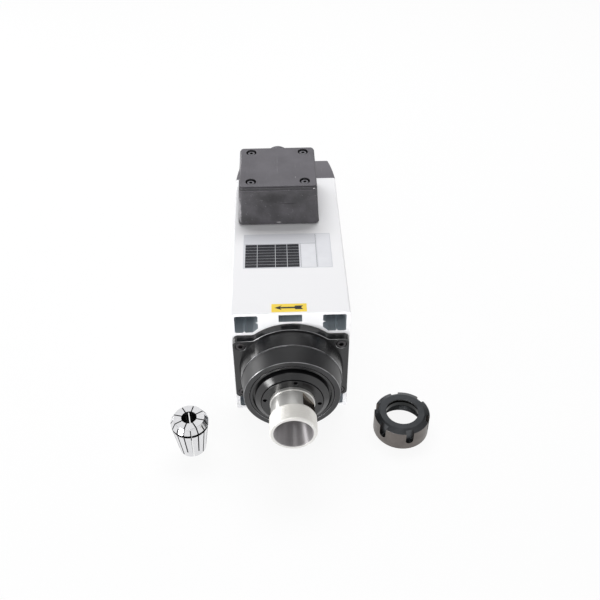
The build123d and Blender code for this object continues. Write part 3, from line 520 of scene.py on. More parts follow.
# Four rounded ears run into a larger circle, with soft hollows where they meet
hollow = ear_half_height + blend
reach = math.sqrt((flange_radius + blend) ** 2 - hollow ** 2)
meeting = math.degrees(math.atan2(hollow, reach))
quarter = arc((ear_half_width - ear_corner, ear_half_height - ear_corner), ear_corner, 0, 90, 8)
quarter += arc((reach, hollow), blend, -90, meeting - 180, 8)
quarter += arc((0, 0), flange_radius, meeting, 90, 20)[1:]
half = quarter + [(-x, z) for x, z in quarter[-2::-1]]
whole = half + [(x, -z) for x, z in half[::-1]]
cap = along([[(x, z + axis_height) for x, z in whole]], flange_front, front_face, 0.6, 3)
boss = about_axis(rounded([
    (spigot_rear, 27.5), (spigot_rear, 45.95, 0.4), (front_face + 0.5, 45.95), (flange_front + 0.2, 46.1),
    (flange_front - 0.5, 46.0, 0.5), (boss_step, 44.0, 0.6), (boss_step, 43.2, 0.2),
    (boss_step - 1.2, 43.35, 0.3), (boss_front, 41.75, 0.8), (boss_front, 36.75, 0.4), (bearing_front, 36.5),
    (bearing_front, 31.0), (front_face, 31.0), (front_face, 27.5),
], steps=4))
core = about_axis(cylinder(-96, flange_front - 1, 31.5))
cap = combined(combined(cap, core), boss, "UNION")
seat = [(-5.2, 0), (-5.2, 2.8), (5, 2.8), (5, 4.7), (9.75, 4.7), (10.15, 5.1), (12, 5.1), (12, 0)]
cap = combined(cap, gathered(pegs(seat, 48, [(x, flange_front + 10, z) for x, z in ears], 90)))

polished, tree, shader, place = surface("rubbed edge of the black coat", Metallic=0.8, Roughness=0.28)
# Where an edge has been handled the coat is thin, and bright metal shows along it
rubbed = add(tree, "ShaderNodeTexNoise", {"Vector": place, "Scale": 60.0, "Detail": 3.0}).outputs[0]
rubbed = add(tree, "ShaderNodeMapRange", {"Value": rubbed, "From Min": 0.35, "From Max": 0.65}).outputs[0]
coloured(tree, shader, rubbed, "#4A4A4C", "#B4B4B6")


def rubbed_edges(center, normal):
    """Rubbed on the rounded edges round the axis, satin on the boss's second step."""
    out = Vector((center.x, center.z - axis_height)).length
    if 0.3 < -normal.y < 0.93 and out > 26:
        return 1
    return 2 if center.y < boss_step else 0


piece("front_cap", cap, [black, polished, satin], "motor_body", ["front_end_cap"],
      rubbed_edges)


# Socket head screws: steel, cold headed, with a rolled knurl round the head, blackened in hot
# salts. One screw is made for each size and set out on its places.

def geometry_tree(name, **inputs):
    """A new geometry tree with named inputs; returns it and the sockets that it is given."""
    tree = bpy.data.node_groups.new(name, "GeometryNodeTree")
    tree.interface.new_socket("Geometry", in_out="INPUT", socket_type="NodeSocketGeometry")
    for label, value in inputs.items():
        kind = {int: "Int", float: "Float", type(None): "Object"}[type(value)]
        entry = tree.interface.new_socket(label, in_out="INPUT", socket_type="NodeSocket" + kind)
        if value is not None:
            entry.default_value = value
    tree.interface.new_socket("Material", in_out="INPUT", socket_type="NodeSocketMaterial")
    tree.interface.new_socket("Geometry", in_out="OUTPUT", socket_type="NodeSocketGeometry")
    return tree, add(tree, "NodeGroupInput").outputs


def ended(tree, given, geometry):
    """The end of every tree: instances made real, and the material set."""
    real = add(tree, "GeometryNodeRealizeInstances", {"Geometry": geometry}).outputs[0]
    dressed_up = add(tree, "GeometryNodeSetMaterial", {"Geometry": real, "Material": given["Material"]})
    add(tree, "NodeGroupOutput", {"Geometry": dressed_up.outputs[0]})


def grown(tree, mesh, material, **values):
    """The plain mesh that a geometry tree makes of this one."""
    work = bpy.data.objects.new("work", mesh)
    modifier = work.modifiers.new("grow", "NODES")
    modifier.node_group = tree
    for entry in tree.interface.items_tree:
        if entry.in_out == "INPUT" and entry.name in values:
            modifier[entry.identifier] = values[entry.name]
        elif entry.in_out == "INPUT" and entry.name == "Material":
            modifier[entry.identifier] = material
    return settled(work)


set_out, given = geometry_tree("set out on places", Fastener=None)
fastener = add(set_out, "GeometryNodeObjectInfo", {"Object": given["Fastener"]}).outputs["Geometry"]
spread = add(set_out, "GeometryNodeInstanceOnPoints", {"Points": given["Geometry"], "Instance": fastener})
ended(set_out, given, spread.outputs[0])


def socket_screws(places, size, length, tilt, material):
    """Socket head screws at these places, the underside of each head on its place."""
    thread, head, height, across = size
    screw = turned(rounded([
        (-length, 0), (-length, thread - 0.05, 0.4), (0, thread - 0.05), (0, head, 0.2),
        (height, head, 0.5), (height, 0),
    ], steps=3), 72)
    for vertex in screw.vertices:
        radius = math.hypot(vertex.co.x, vertex.co.y)
        groove = round(math.degrees(math.atan2(vertex.co.y, vertex.co.x)) / 5) % 2
        if radius > head - 0.05 and vertex.co.z < height - 0.6 and groove:
            vertex.co.x *= 1 - 0.12 / radius
            vertex.co.y *= 1 - 0.12 / radius
    key = rounded(arc((0, 0), across / math.sqrt(3), 0, 300, 5), 0.1, 2)
    screw = combined(screw, extruded([key], height / 2, height + 1))
    facing(screw, 0, 0, 0, tilt)
    points = bpy.data.meshes.new("places")
    points.from_pydata(places, [], [])
    model = bpy.data.objects.new("screw model", screw)
    bpy.context.scene.collection.objects.link(model)
    screws = grown(set_out, points, material, Fastener=model)
    bpy.data.objects.remove(model)
    return screws


M4 = (2.0, 3.5, 4.0, 3.0)
M5 = (2.5, 4.25, 5.0, 4.0)
blackened, tree, shader, place = surface("black oxide screw steel", Metallic=1.0, Roughness=0.38)
# A skin of black oxide, oiled, a little uneven
mottled(tree, shader, place, 700.0, 3.0, "#3A393A", "#666466")

screws = socket_screws([(x, flange_front + 5, z) for x, z in ears], M5, 20, 90, blackened)
piece("front_cap_bolts", screws, [blackened], "motor_body", ["front_cap_screws"])
shield_rear = 109.2
screws = socket_screws([(x, shield_rear, z) for x, z in ears], M5, 18, -90, blackened)
piece("rear_shield_bolts", screws, [blackened], "motor_body", ["rear_shield_screws"])


# Front bearings: two angular contact bearings with ground spacers between them, clamped by a
# slotted locknut. Bearing steel, hardened and ground; the cages are moulded polyamide.

ground, tree, shader, place = surface("ground bearing steel", Metallic=1.0, Roughness=0.16)
# Bright grey with grinding lines round it, drawn 0.4 mm apart
marks = turning_marks(tree, place, spindle_axis, 0.4)
coloured(tree, shader, marks, "#B9BABD", "#DADBDE", 0.15, 0.00003)
for bearing in ("front_bearing_1", "front_bearing_2", "rear_bearing"):
    dressed(ground, f"{bearing}_outer_race", f"{bearing}_inner_race", f"{bearing}_balls")

polyamide, tree, shader, place = surface("natural polyamide", Roughness=0.5, IOR=1.53, Subsurface_Weight=0.1)
# Cream moulded nylon, slightly translucent
mottled(tree, shader, place, 220.0, 3.0, "#D8CDAE", "#E6DDC3")
dressed(polyamide, "front_bearing_1_cage", "front_bearing_2_cage", "rear_bearing_cage")

spring, tree, shader, place = surface("dark spring steel", Metallic=1.0, Roughness=0.34)
# Hardened and tempered blue-black, with the rings of its turning
marks = turning_marks(tree, place, spindle_axis, 0.5)
coloured(tree, shader, marks, "#45464B", "#7B7C80")
dressed(spring, "outer_bearing_spacer", "inner_bearing_spacer", "front_locknut", "rear_disc_spring",
        "rear_retaining_ring", "fan_washer")


# Front bearing cover: a turned ring screwed into the boss, black coated like it, with a groove
# and a cone that throw coolant off. The labyrinth ring on the shaft turns inside its lip.

cover_face = -149.4
ring_face = -150.4
cover = about_axis(rounded([
    (bearing_front, 21.9), (bearing_front, 36.45), (boss_front, 36.3, 0.5), (boss_front, 33.9, 0.3),
    (-140.5, 33.9), (-140.5, 31.9), (-146.1, 31.9, 0.35), (cover_face, 27.3, 0.25), (cover_face, 26.8, 0.15),
    (-141.2, 26.8), (-141.2, 21.9),
], steps=4))
piece("bearing_cover", cover, [black], "motor_body", ["front_bearing_cover"])

labyrinth = about_axis(rounded([
    (ring_face, 18.0, 0.3), (ring_face, 26.4, 0.45), (-141.8, 26.4), (-141.8, 21.5), (bearing_front, 21.5),
    (bearing_front, 18.0),
], steps=4))


def ringed(tree, given, geometry, count, step, turn=0.0):
    """The end of a tree: count copies about Z, the first turned by turn and each a step further."""
    points = add(tree, "GeometryNodePoints", {"Count": count}).outputs[0]
    index = add(tree, "GeometryNodeInputIndex").outputs[0]
    angle = add(tree, "ShaderNodeMath", {0: index, 1: step, 2: turn}, operation="MULTIPLY_ADD").outputs[0]
    spin = add(tree, "ShaderNodeCombineXYZ", {2: angle}).outputs[0]
    spin = add(tree, "FunctionNodeEulerToRotation", {0: spin}).outputs[0]
    links = {"Points": points, "Instance": geometry, "Rotation": spin}
    ended(tree, given, add(tree, "GeometryNodeInstanceOnPoints", links).outputs[0])


around_axis, given = geometry_tree("set out round an axis", Count=4, Turn=0.0)
apart = add(around_axis, "ShaderNodeMath", {0: math.tau, 1: given["Count"]}, operation="DIVIDE").outputs[0]
ringed(around_axis, given, given["Geometry"], given["Count"], apart, given["Turn"])

pin_hole = turned([(-4, 0), (-3.2, 1.75), (-0.3, 1.75), (0.1, 2.1), (1, 2.1), (1, 0)], 32)
facing(pin_hole, 23.5, 0, -ring_face)
pin_holes = grown(around_axis, pin_hole, black, Count=4, Turn=math.radians(-7))
labyrinth = combined(labyrinth, facing(pin_holes, 0, 0, axis_height, 90))
piece("labyrinth_seal_ring", labyrinth, [black], "rotor", ["labyrinth_ring"])


# Spindle shaft: alloy steel turned bright and ground, with two wrench flats milled in its neck and
# an M40x1.5 thread on its nose. The collet taper in the nose is ground and polished.

thread_pitch = 1.5
thread, given = geometry_tree(
    "screw thread", Pitch=thread_pitch, Depth=0.85, Start=0.0, End=1.0, Runout=1.0, Inside=0.0, Outside=1.0)
position = add(thread, "GeometryNodeInputPosition").outputs[0]
parts = add(thread, "ShaderNodeSeparateXYZ", {0: position}).outputs
flat = add(thread, "ShaderNodeCombineXYZ", {0: parts["X"], 1: parts["Y"]}).outputs[0]
radius = add(thread, "ShaderNodeVectorMath", {0: flat}, operation="LENGTH").outputs["Value"]
outwards = add(thread, "ShaderNodeVectorMath", {0: flat}, operation="NORMALIZE").outputs[0]
angle = add(thread, "ShaderNodeMath", {0: parts["Y"], 1: parts["X"]}, operation="ARCTAN2").outputs[0]
angle = add(thread, "ShaderNodeMath", {0: angle, 1: math.tau}, operation="DIVIDE").outputs[0]
rows = add(thread, "ShaderNodeMath", {0: parts["Z"], 1: given["Pitch"]}, operation="DIVIDE").outputs[0]
phase = add(thread, "ShaderNodeMath", {0: rows, 1: angle}, operation="SUBTRACT").outputs[0]
wave = add(thread, "ShaderNodeMath", {0: phase, 1: 0.5}, operation="PINGPONG").outputs[0]
valley = add(thread, "ShaderNodeMapRange", {"Value": wave, "From Min": 0.06, "From Max": 0.44}).outputs[0]
rise = add(thread, "ShaderNodeMath", {0: parts["Z"], 1: given["Start"]}, operation="SUBTRACT").outputs[0]
fall = add(thread, "ShaderNodeMath", {0: given["End"], 1: parts["Z"]}, operation="SUBTRACT").outputs[0]
nearest = add(thread, "ShaderNodeMath", {0: rise, 1: fall}, operation="MINIMUM").outputs[0]
links = {0: nearest, 1: given["Runout"]}
fade = add(thread, "ShaderNodeMath", links, operation="DIVIDE", use_clamp=True).outputs[0]
above = add(thread, "ShaderNodeMath", {0: radius, 1: given["Inside"]}, operation="GREATER_THAN").outputs[0]
below = add(thread, "ShaderNodeMath", {0: radius, 1: given["Outside"]}, operation="LESS_THAN").outputs[0]
amount = add(thread, "ShaderNodeMath", {0: valley, 1: given["Depth"]}, operation="MULTIPLY").outputs[0]
for factor in (fade, above, below, -1.0):
    amount = add(thread, "ShaderNodeMath", {0: amount, 1: factor}, operation="MULTIPLY").outputs[0]
offset = add(thread, "ShaderNodeVectorMath", {0: outwards, "Scale": amount}, operation="SCALE").outputs[0]
moved = add(thread, "GeometryNodeSetPosition", {"Geometry": given["Geometry"], "Offset": offset}).outputs[0]
ended(thread, given, moved)


def threaded(start, end, radius, rows=8):
    """Points close enough together along a cylinder for a thread to be raised on them."""
    count = max(1, round(abs(end - start) / thread_pitch * rows))
    return [(start + (end - start) * i / count, radius) for i in range(count + 1)]


steel, tree, shader, place = surface(
    "bright turned spindle steel", Metallic=0.8, Roughness=0.34, Anisotropic=0.85, Anisotropic_Rotation=0.25)
# Fine turned and ground steel: bright warm grey, with rings drawn half a millimetre apart, so that a
# highlight runs along the shaft and not round it
marks = turning_marks(tree, place, spindle_axis, 0.5)
coloured(tree, shader, marks, "#D2D1CE", "#EBEAE7")
tangent = add(tree, "ShaderNodeTangent", direction_type="RADIAL", axis="Y").outputs[0]
tree.links.new(tangent, shader.inputs["Tangent"])
bump = add(tree, "ShaderNodeBump", {"Height": marks, "Strength": 0.2, "Distance": 0.00004})
tree.links.new(bump.outputs[0], shader.inputs["Normal"])

milled, tree, shader, place = surface("milled flat under old oil", Metallic=1.0, Roughness=0.22)
# Cutter marks run slantwise over the flat, under a brown film of dried oil
links = {"Vector": place, "Rotation": (0.0, 0.0, 0.7), "Scale": (1.0, 0.08, 1.0)}
slanted = add(tree, "ShaderNodeMapping", links).outputs[0]
cutter = add(tree, "ShaderNodeTexNoise", {"Vector": slanted, "Scale": 900.0, "Detail": 2.0}).outputs[0]
oil = add(tree, "ShaderNodeMapRange", {"Value": cutter, "From Min": 0.42, "From Max": 0.68}).outputs[0]
coloured(tree, shader, oil, "#3A2F22", "#6E604A")

matt_thread, tree, shader, place = surface("fine turned thread", Metallic=0.55, Roughness=0.5)
# A cut thread scatters light, so the collar looks whiter than the neck
marks = turning_marks(tree, place, spindle_axis, 0.6)
coloured(tree, shader, marks, "#E2E0DB", "#F6F5F2", 0.3, 0.00006)

seat_steel, tree, shader, place = surface(
    "ground collet seat", Metallic=0.8, Roughness=0.5, Anisotropic=1.0, Anisotropic_Rotation=0.25)
# Ground smooth inside, so that the lights draw streaks down the taper
marks = turning_marks(tree, place, spindle_axis, 0.5)
coloured(tree, shader, marks, "#A8A5A6", "#C4C1C3")
tangent = add(tree, "ShaderNodeTangent", direction_type="RADIAL", axis="Y").outputs[0]
tree.links.new(tangent, shader.inputs["Tangent"])

nose_tip = -184.7
collar_rear = -167.9
neck = 18.6
taper_mouth = 16.3
taper_length = 31.0
taper_end = taper_mouth - taper_length * math.tan(math.radians(8))
fan_seat = 111.2
shaft_end = 132.7
lead_in = rounded([
    (-139.7, 0), (-139.7, 10.5, 0.6), (nose_tip + taper_length, 10.5), (nose_tip + taper_length, taper_end),
    (nose_tip + 0.5, taper_mouth), (nose_tip, taper_mouth + 0.5, 0.15), (nose_tip, 19.0, 0.3),
    (nose_tip + 1.0, 20.0),
])
after = rounded([
    (collar_rear - 1.0, 20.0), (collar_rear, 19.0, 0.3), (collar_rear, neck, 0.4),
    (ring_face - 2.8, neck, 0.3), (ring_face - 2.8, 19.3, 0.25), (ring_face, 19.3), (ring_face, 18.0),
    (bearing_front, 18.0), (bearing_front, 17.5), (spigot_rear, 17.5), (spigot_rear, 17.0), (51.8, 17.0, 0.3),
    (51.8, 15.0, 0.5), (89.4, 15.0, 0.3), (89.4, 12.5), (104.4, 12.5), (104.4, 11.7), (105.6, 11.7),
    (105.6, 12.5), (106.2, 12.5, 0.2), (106.2, 10.0), (fan_seat, 10.0), (fan_seat, 8.0),
    (shaft_end, 8.0, 0.4), (shaft_end, 2.5), (116.7, 2.5), (115.4, 0),
])
collar = threaded(nose_tip + 1.2, collar_rear - 1.2, 20.0)
shaft = turned(lead_in + collar + after, 112)
shaft = grown(thread, shaft, steel, Start=nose_tip + 0.4, End=collar_rear - 0.4, Inside=19.6, Outside=20.5)
facing(shaft, 0, 0, axis_height, -90)
flat_reach = 16.0
flats = []
for turn in (32, 212):
    chip = extruded([rectangle(flat_reach, -167.2, 30, -154.2)], -20, 20)
    chip.transform(Matrix.Rotation(math.radians(-turn), 4, "Y"))
    flats.append(facing(chip, 0, 0, axis_height))
shaft = combined(shaft, gathered(flats))


def shaft_finish(center, normal):
    """Milled flats on the neck, a matt thread on the collar, the ground seat in the nose."""
    out = Vector((center.x, center.z - axis_height)).length
    outwards = normal.x * center.x + normal.z * (center.z - axis_height) > 0
    if collar_rear < center.y < ring_face and abs(normal.y) < 0.3 and out < neck - 0.15:
        return 1
    if center.y < collar_rear and outwards and out > 18.9:
        return 2
    return 3 if center.y < -139 and not outwards and out < 16.6 else 0


piece("spindle", shaft, [steel, milled, matt_thread, seat_steel], "rotor", ["spindle_shaft"],
      shaft_finish, smooth=28)


# Rotor: a skewless stack of the same steel sheets, pressed on the shaft, with bars and end rings
# die cast round it in aluminium.

cast, tree, shader, place = surface("die cast aluminium", Metallic=1.0, Roughness=0.5)
# Cast skin: light grey, faintly pitted at about a millimetre
mottled(tree, shader, place, 900.0, 3.0, "#A3A5A8", "#C6C8CB", 0.4, 0.0001)
dressed(cast, "rotor_cage")


# Rear end shield: an aluminium casting machined on its faces, holding the rear bearing. It shows
# only through the grille and the air channels.

machined, tree, shader, place = surface("machined aluminium", Metallic=1.0, Roughness=0.34)
# Faced on the lathe: light grey, with rings drawn 0.6 mm apart
marks = turning_marks(tree, place, spindle_axis, 0.6)
coloured(tree, shader, marks, "#A9ABAE", "#CBCDD0", 0.3, 0.00006)
dressed(machined, "rear_end_shield")


# Cooling fan: glass filled nylon, moulded in one, pushed on the shaft end against a shoulder and
# held there by a washer and a screw. Its blades are straight, so it blows the same either way.

nylon, tree, shader, place = surface("black glass filled nylon", Roughness=0.55, IOR=1.53)
# Matt black with the pale flecks of glass at its skin
mottled(tree, shader, place, 1400.0, 4.0, "#141416", "#2E2E31")

hub = turned(rounded([
    (fan_seat, 8.0), (fan_seat, 13.0, 0.5), (113.2, 13.0), (113.2, 38.0, 0.8), (115.7, 38.0, 0.8),
    (115.7, 13.0, 1.0), (133.2, 13.0, 0.8), (133.2, 8.0, 0.4),
], steps=3), 96)
blade_outline = rounded([(12.5, 114.5), (37.5, 114.5), (37.5, 132.7, 3.0), (12.5, 132.7, 1.0)])
blade = extruded([blade_outline], -1.0, 1.0, 0.4)
blade.transform(Matrix.Rotation(math.radians(90), 4, "X"))
blades = grown(around_axis, blade, nylon, Count=9, Turn=0.0)
fan = combined(hub, blades, "UNION")
piece("fan_wheel", facing(fan, 0, 0, axis_height, -90), [nylon], "rotor", ["cooling_fan"])
screws = socket_screws([(0, 134.7, axis_height)], M5, 14, -90, blackened)
piece("fan_bolt", screws, [blackened], "rotor", ["fan_screw"])


# Fan cover: dark grey ABS, moulded, that carries the body's outline on and narrows to the rear.
# Air comes in through ring slots in its back, and four long screws hold it to the shield.

def lofted(rings):
    """A closed skin through rounded rectangles of (height, half x, half y, corner), ends filled."""
    return skinned([
        [(x, y, z) for x, y in rounded(rectangle(-a, -b, a, b), max(corner, 0.05))]
        for z, a, b, corner in rings
    ], False)


abs_grey, tree, shader, place = surface("dark grey moulded ABS", Roughness=0.5, IOR=1.53)
# A spark-eroded mould gives a fine even grain, and handling leaves cloudy rubbed patches some
# 15 mm across, fine pale scuffs and a few scratches. Steep faces take darker colours than faces
# that look up, as painted shade.
links = {"Vector": place, "Scale": 42.0, "Detail": 4.0, "Roughness": 0.6}
cloud = add(tree, "ShaderNodeTexNoise", links).outputs[0]
cloud = add(tree, "ShaderNodeMapRange", {"Value": cloud, "From Min": 0.36, "From Max": 0.66}).outputs[0]
links = {0: cloud, 6: linear("#5A585D"), 7: linear("#69676C")}
flat = add(tree, "ShaderNodeMix", links, data_type="RGBA").outputs[2]
# Painted shade: the colours for steep faces, darker than those for faces that look up
links = {0: cloud, 6: linear("#333234"), 7: linear("#4B494D")}
painted_shade_steep = add(tree, "ShaderNodeMix", links, data_type="RGBA").outputs[2]
facing_up = add(tree, "ShaderNodeNewGeometry").outputs["Normal"]
facing_up = add(tree, "ShaderNodeSeparateXYZ", {0: facing_up}).outputs["Z"]
links = {"Value": facing_up, "From Min": 0.15, "From Max": 0.6}
facing_up = add(tree, "ShaderNodeMapRange", links).outputs[0]
tint = add(tree, "ShaderNodeMix", {0: facing_up, 6: painted_shade_steep, 7: flat}, data_type="RGBA").outputs[2]
# Painted shadow along the seam: steep faces above the rim are darkened towards #2B2A2D
high = add(tree, "ShaderNodeSeparateXYZ", {0: place}).outputs["Z"]
links = {"Value": high, "From Min": 0.1578, "From Max": 0.1582, "To Max": 0.75}
rim = add(tree, "ShaderNodeMapRange", links).outputs[0]
rim = add(tree, "ShaderNodeMix", {0: facing_up, 2: rim, 3: 0.0}).outputs[0]
tint = add(tree, "ShaderNodeMix", {0: rim, 6: tint, 7: linear("#2B2A2D")}, data_type="RGBA").outputs[2]
links = {"Vector": place, "Rotation": (0.5, 0.9, 0.6), "Scale": (1.0, 0.06, 1.0)}
tilted = add(tree, "ShaderNodeMapping", links).outputs[0]
scuffs = add(tree, "ShaderNodeTexNoise", {"Vector": tilted, "Scale": 650.0, "Detail": 2.0}).outputs[0]
links = {"Value": scuffs, "From Min": 0.66, "From Max": 0.78, "To Max": 0.35}
scuffs = add(tree, "ShaderNodeMapRange", links).outputs[0]
tint = add(tree, "ShaderNodeMix", {0: scuffs, 6: tint, 7: linear("#98969A")}, data_type="RGBA").outputs[2]
# Smudges, specks and scuffs on the box, and two painted highlights on its left side
wear_and_painted_highlights = (
    ((-0.0095, 0.024, 0.1495), (0.0135, 0.010, 0.0065), "#262527", 0.7),
    ((-0.0105, 0.024, 0.1350), (0.0065, 0.010, 0.0130), "#2A292B", 0.5),
    ((-0.0250, 0.024, 0.1370), (0.0060, 0.010, 0.0070), "#2A292B", 0.5),
    ((0.0015, 0.024, 0.1437), (0.0095, 0.010, 0.0007), "#1A191B", 0.8),
    ((-0.0080, 0.023, 0.1232), (0.0024, 0.010, 0.0010), "#A9A7A9", 0.6),
    ((0.0255, 0.024, 0.1596), (0.0007, 0.010, 0.0007), "#E8E6E8", 0.7),
    ((0.0088, 0.040, 0.1640), (0.0006, 0.0006, 0.010), "#D8D6D8", 0.9),
    # Painted highlights: a pale strip down the left front corner and along the lid's left edge
    ((-0.0451, 0.0238, 0.1390), (0.0020, 0.0040, 0.0190), "#A3A1A5", 0.8),
    ((-0.0440, 0.0700, 0.1622), (0.0014, 0.0230, 0.0030), "#A3A1A5", 0.8),
)
for middle, reach, shade, amount in wear_and_painted_highlights:
    apart = add(tree, "ShaderNodeVectorMath", {0: place, 1: middle}, operation="SUBTRACT").outputs[0]
    apart = add(tree, "ShaderNodeVectorMath", {0: apart, 1: reach}, operation="DIVIDE").outputs[0]
    apart = add(tree, "ShaderNodeVectorMath", {0: apart}, operation="LENGTH").outputs["Value"]
    ragged = add(tree, "ShaderNodeTexNoise", {"Vector": place, "Scale": 300.0, "Detail": 3.0}).outputs[0]
    apart = add(tree, "ShaderNodeMath", {0: apart, 1: ragged}, operation="ADD").outputs[0]
    links = {"Value": apart, "From Min": 1.5, "From Max": 0.9, "To Max": amount}
    mark = add(tree, "ShaderNodeMapRange", links).outputs[0]
    tint = add(tree, "ShaderNodeMix", {0: mark, 6: tint, 7: linear(shade)}, data_type="RGBA").outputs[2]
tree.links.new(tint, shader.inputs["Base Color"])
rough = add(tree, "ShaderNodeMapRange", {"Value": cloud, "To Min": 0.42, "To Max": 0.58}).outputs[0]
tree.links.new(rough, shader.inputs["Roughness"])
grain = add(tree, "ShaderNodeTexNoise", {"Vector": place, "Scale": 2200.0, "Detail": 1.0}).outputs[0]
bump = add(tree, "ShaderNodeBump", {"Height": grain, "Strength": 0.3, "Distance": 0.00004})
tree.links.new(bump.outputs[0], shader.inputs["Normal"])

cover_length = 45.0
cover_wall = 2.5
cover_back_wall = 3.0
cover_edge = 1.0
cover_rear = rear_face + cover_length


def cover_ring(travel, inset):
    """The cover's rounded rectangle at this distance behind the body: both sides bulge a little."""
    share = travel / cover_length
    wide = 51.5 - 2.5 * share - 2.3 * share ** 2
    high = 60.0 - 4.8 * share - 2.2 * share ** 2
    return (rear_face + travel, wide - inset, high - inset, 1.5 - inset / 2)


def eased(radius, first=0):
    """How far a soft edge of this radius falls and draws in, point by point round its quarter turn."""
    turns = [math.radians(22.5 * i) for i in range(first, 5)]
    return [(radius * (1 - math.sin(turn)), radius * (1 - math.cos(turn))) for turn in turns]


hollow_end = cover_length - cover_back_wall
inner = [cover_ring(hollow_end * i / 8, cover_wall) for i in range(8, -1, -1)]
outer = [cover_ring((cover_length - cover_edge) * i / 8, 0.0) for i in range(9)]
rim = [(outer[0][0], outer[0][1] - 0.25, outer[0][2] - 0.25, outer[0][3])]
outer[0] = cover_ring(0.25, 0.0)
edge = [cover_ring(cover_length - fall, inset) for fall, inset in eased(cover_edge, 1)]
cover = lofted(inner + rim + outer + edge)
facing(cover, 0, 0, axis_height, -90)
cover_screws = [(side * 40.5, axis_height + end * 17) for side, end in corners]
cover_places = [(x, 0, z) for x, z in cover_screws]
screw_seat = 143.2
posts = pegs(cylinder(shield_rear, cover_rear - 1, 4.5), 40, cover_places, -90)
seats = pegs([
    (100, 0), (100, 2.3), (screw_seat, 2.3), (screw_seat, 3.95), (cover_rear - 0.4, 3.95), (cover_rear, 4.35),
    (cover_rear + 1, 4.35), (cover_rear + 1, 0),
], 40, cover_places, -90)
cover = combined(cover, gathered(posts), "UNION")

arc_slots, given = geometry_tree("ring of arc slots", Radius=10.0, Width=4.0, Depth=8.0, Spoke=4.0)
reach = add(arc_slots, "ShaderNodeMath", {0: given["Spoke"], 1: 0.5}, operation="MULTIPLY").outputs[0]
reach = add(arc_slots, "ShaderNodeMath", {0: reach, 1: given["Radius"]}, operation="DIVIDE").outputs[0]
gap = add(arc_slots, "ShaderNodeMath", {0: reach}, operation="ARCSINE").outputs[0]
start = add(arc_slots, "ShaderNodeMath", {0: gap, 1: math.radians(45)}, operation="ADD").outputs[0]
links = {0: gap, 1: -2.0, 2: math.radians(90)}
sweep = add(arc_slots, "ShaderNodeMath", links, operation="MULTIPLY_ADD").outputs[0]
links = {"Resolution": 24, "Radius": given["Radius"], "Start Angle": start, "Sweep Angle": sweep}
path = add(arc_slots, "GeometryNodeCurveArc", links).outputs[0]
links = {"Width": given["Width"], "Height": given["Depth"]}
profile = add(arc_slots, "GeometryNodeCurvePrimitiveQuadrilateral", links).outputs[0]
links = {"Curve": path, "Profile Curve": profile, "Fill Caps": True}
slot = add(arc_slots, "GeometryNodeCurveToMesh", links).outputs[0]
ringed(arc_slots, given, slot, 4, math.radians(90))

grille = []
for i in range(4):
    ring = grown(arc_slots, bpy.data.meshes.new("none"), abs_grey, Radius=11.0 + i * 7.6)
    grille.append(facing(cleaned(ring), 0, cover_rear - 1.5, axis_height, -90))
cover = combined(cover, gathered(seats + grille))
piece("fan_shroud", cover, [abs_grey], "motor_body", ["fan_cover"])
screws = socket_screws([(x, screw_seat, z) for x, z in cover_screws], M4, 40, -90, blackened)
piece("fan_shroud_bolts", screws, [blackened], "motor_body", ["fan_cover_screws"])


# Terminal box base: the same grey ABS on a rubber gasket, drafted so that it leaves its mould,
# with a post in each corner for the lid's screws and a thickened pad for the cable gland.

box_half = (39.0, 37.2)
box_foot = 120.8
box_rim = 158.0
lid_top = 162.7
box_floor = 123.8
box_wall = 3.0
box_corner = 4.5
draft = 2.4 / 42.7
well_bottom = 154.0


def box_ring(z, inset=0.0):
    """The box's rounded rectangle at a height: it shrinks upwards with the draft."""
    shrink = inset + (z - body_height) * draft
    return (z, box_half[0] - shrink, box_half[1] - shrink, box_corner - shrink / 2)


base = lofted([
    box_ring(box_floor, box_wall), box_ring(box_rim, box_wall), box_ring(box_rim, 0.35),
    box_ring(box_rim - 0.35), box_ring(box_foot + 1.0), box_ring(box_foot + 0.3, 0.3),
    box_ring(box_foot, 1.0),
])
facing(base, *box_center, 0)
lid_screws = [(box_center[0] + side * 25.4, box_center[1] + end * 26) for side, end in corners]
lid_places = [(x, y, 0) for x, y in lid_screws]
posts = pegs(cylinder(box_floor - 1, well_bottom, 6.8), 40, lid_places)
gland_x = -7.5
gland_z = 142.0
pad_face = 96.8
gland_place = (gland_x, pad_face, gland_z)
pad = pegs(rounded([(-4.2, 0), (-4.2, 14.5), (0, 14.5, 0.5), (0, 0)]), 64, [gland_place], -90)
base = combined(base, gathered(posts + pad), "UNION")
cuts = pegs(cylinder(-8, 1, 10.3), 48, [gland_place], -90)
cuts += pegs(cylinder(138, 155, 2), 24, lid_places)
cuts += pegs(cylinder(119, 125, 2.3), 24, [(x, y, 0) for x, y in box_screws + [earth_place]])
cuts += pegs(cylinder(119, 125, lead_hole), 48, [(0, box_center[1], 0)])
base = combined(base, gathered(cuts))
piece("terminal_box", base, [abs_grey], "motor_body", ["terminal_box_base"])


# Inside the box: a phenolic block with brass clamp screws over the lead sleeve, an earth screw
# and the four zinc plated screws that hold the box down.

phenolic, tree, shader, place = surface("cream phenolic moulding", Roughness=0.4, IOR=1.6)
# Hard glossy thermoset with a faint swirl of filler
links = {"Vector": place, "Scale": 260.0, "Detail": 4.0, "Distortion": 0.8}
swirl = add(tree, "ShaderNodeTexNoise", links).outputs[0]
coloured(tree, shader, swirl, "#DDD7C2", "#EDE8D8")
dressed(phenolic, "terminal_block")

brass, tree, shader, place = surface("plain brass", Metallic=1.0, Roughness=0.26)
# Turned brass with a slight tarnish
mottled(tree, shader, place, 600.0, 3.0, "#C39A4E", "#DDBB73")
dressed(brass, "terminal_screws")

zinc, tree, shader, place = surface("zinc plated steel", Metallic=1.0, Roughness=0.3)
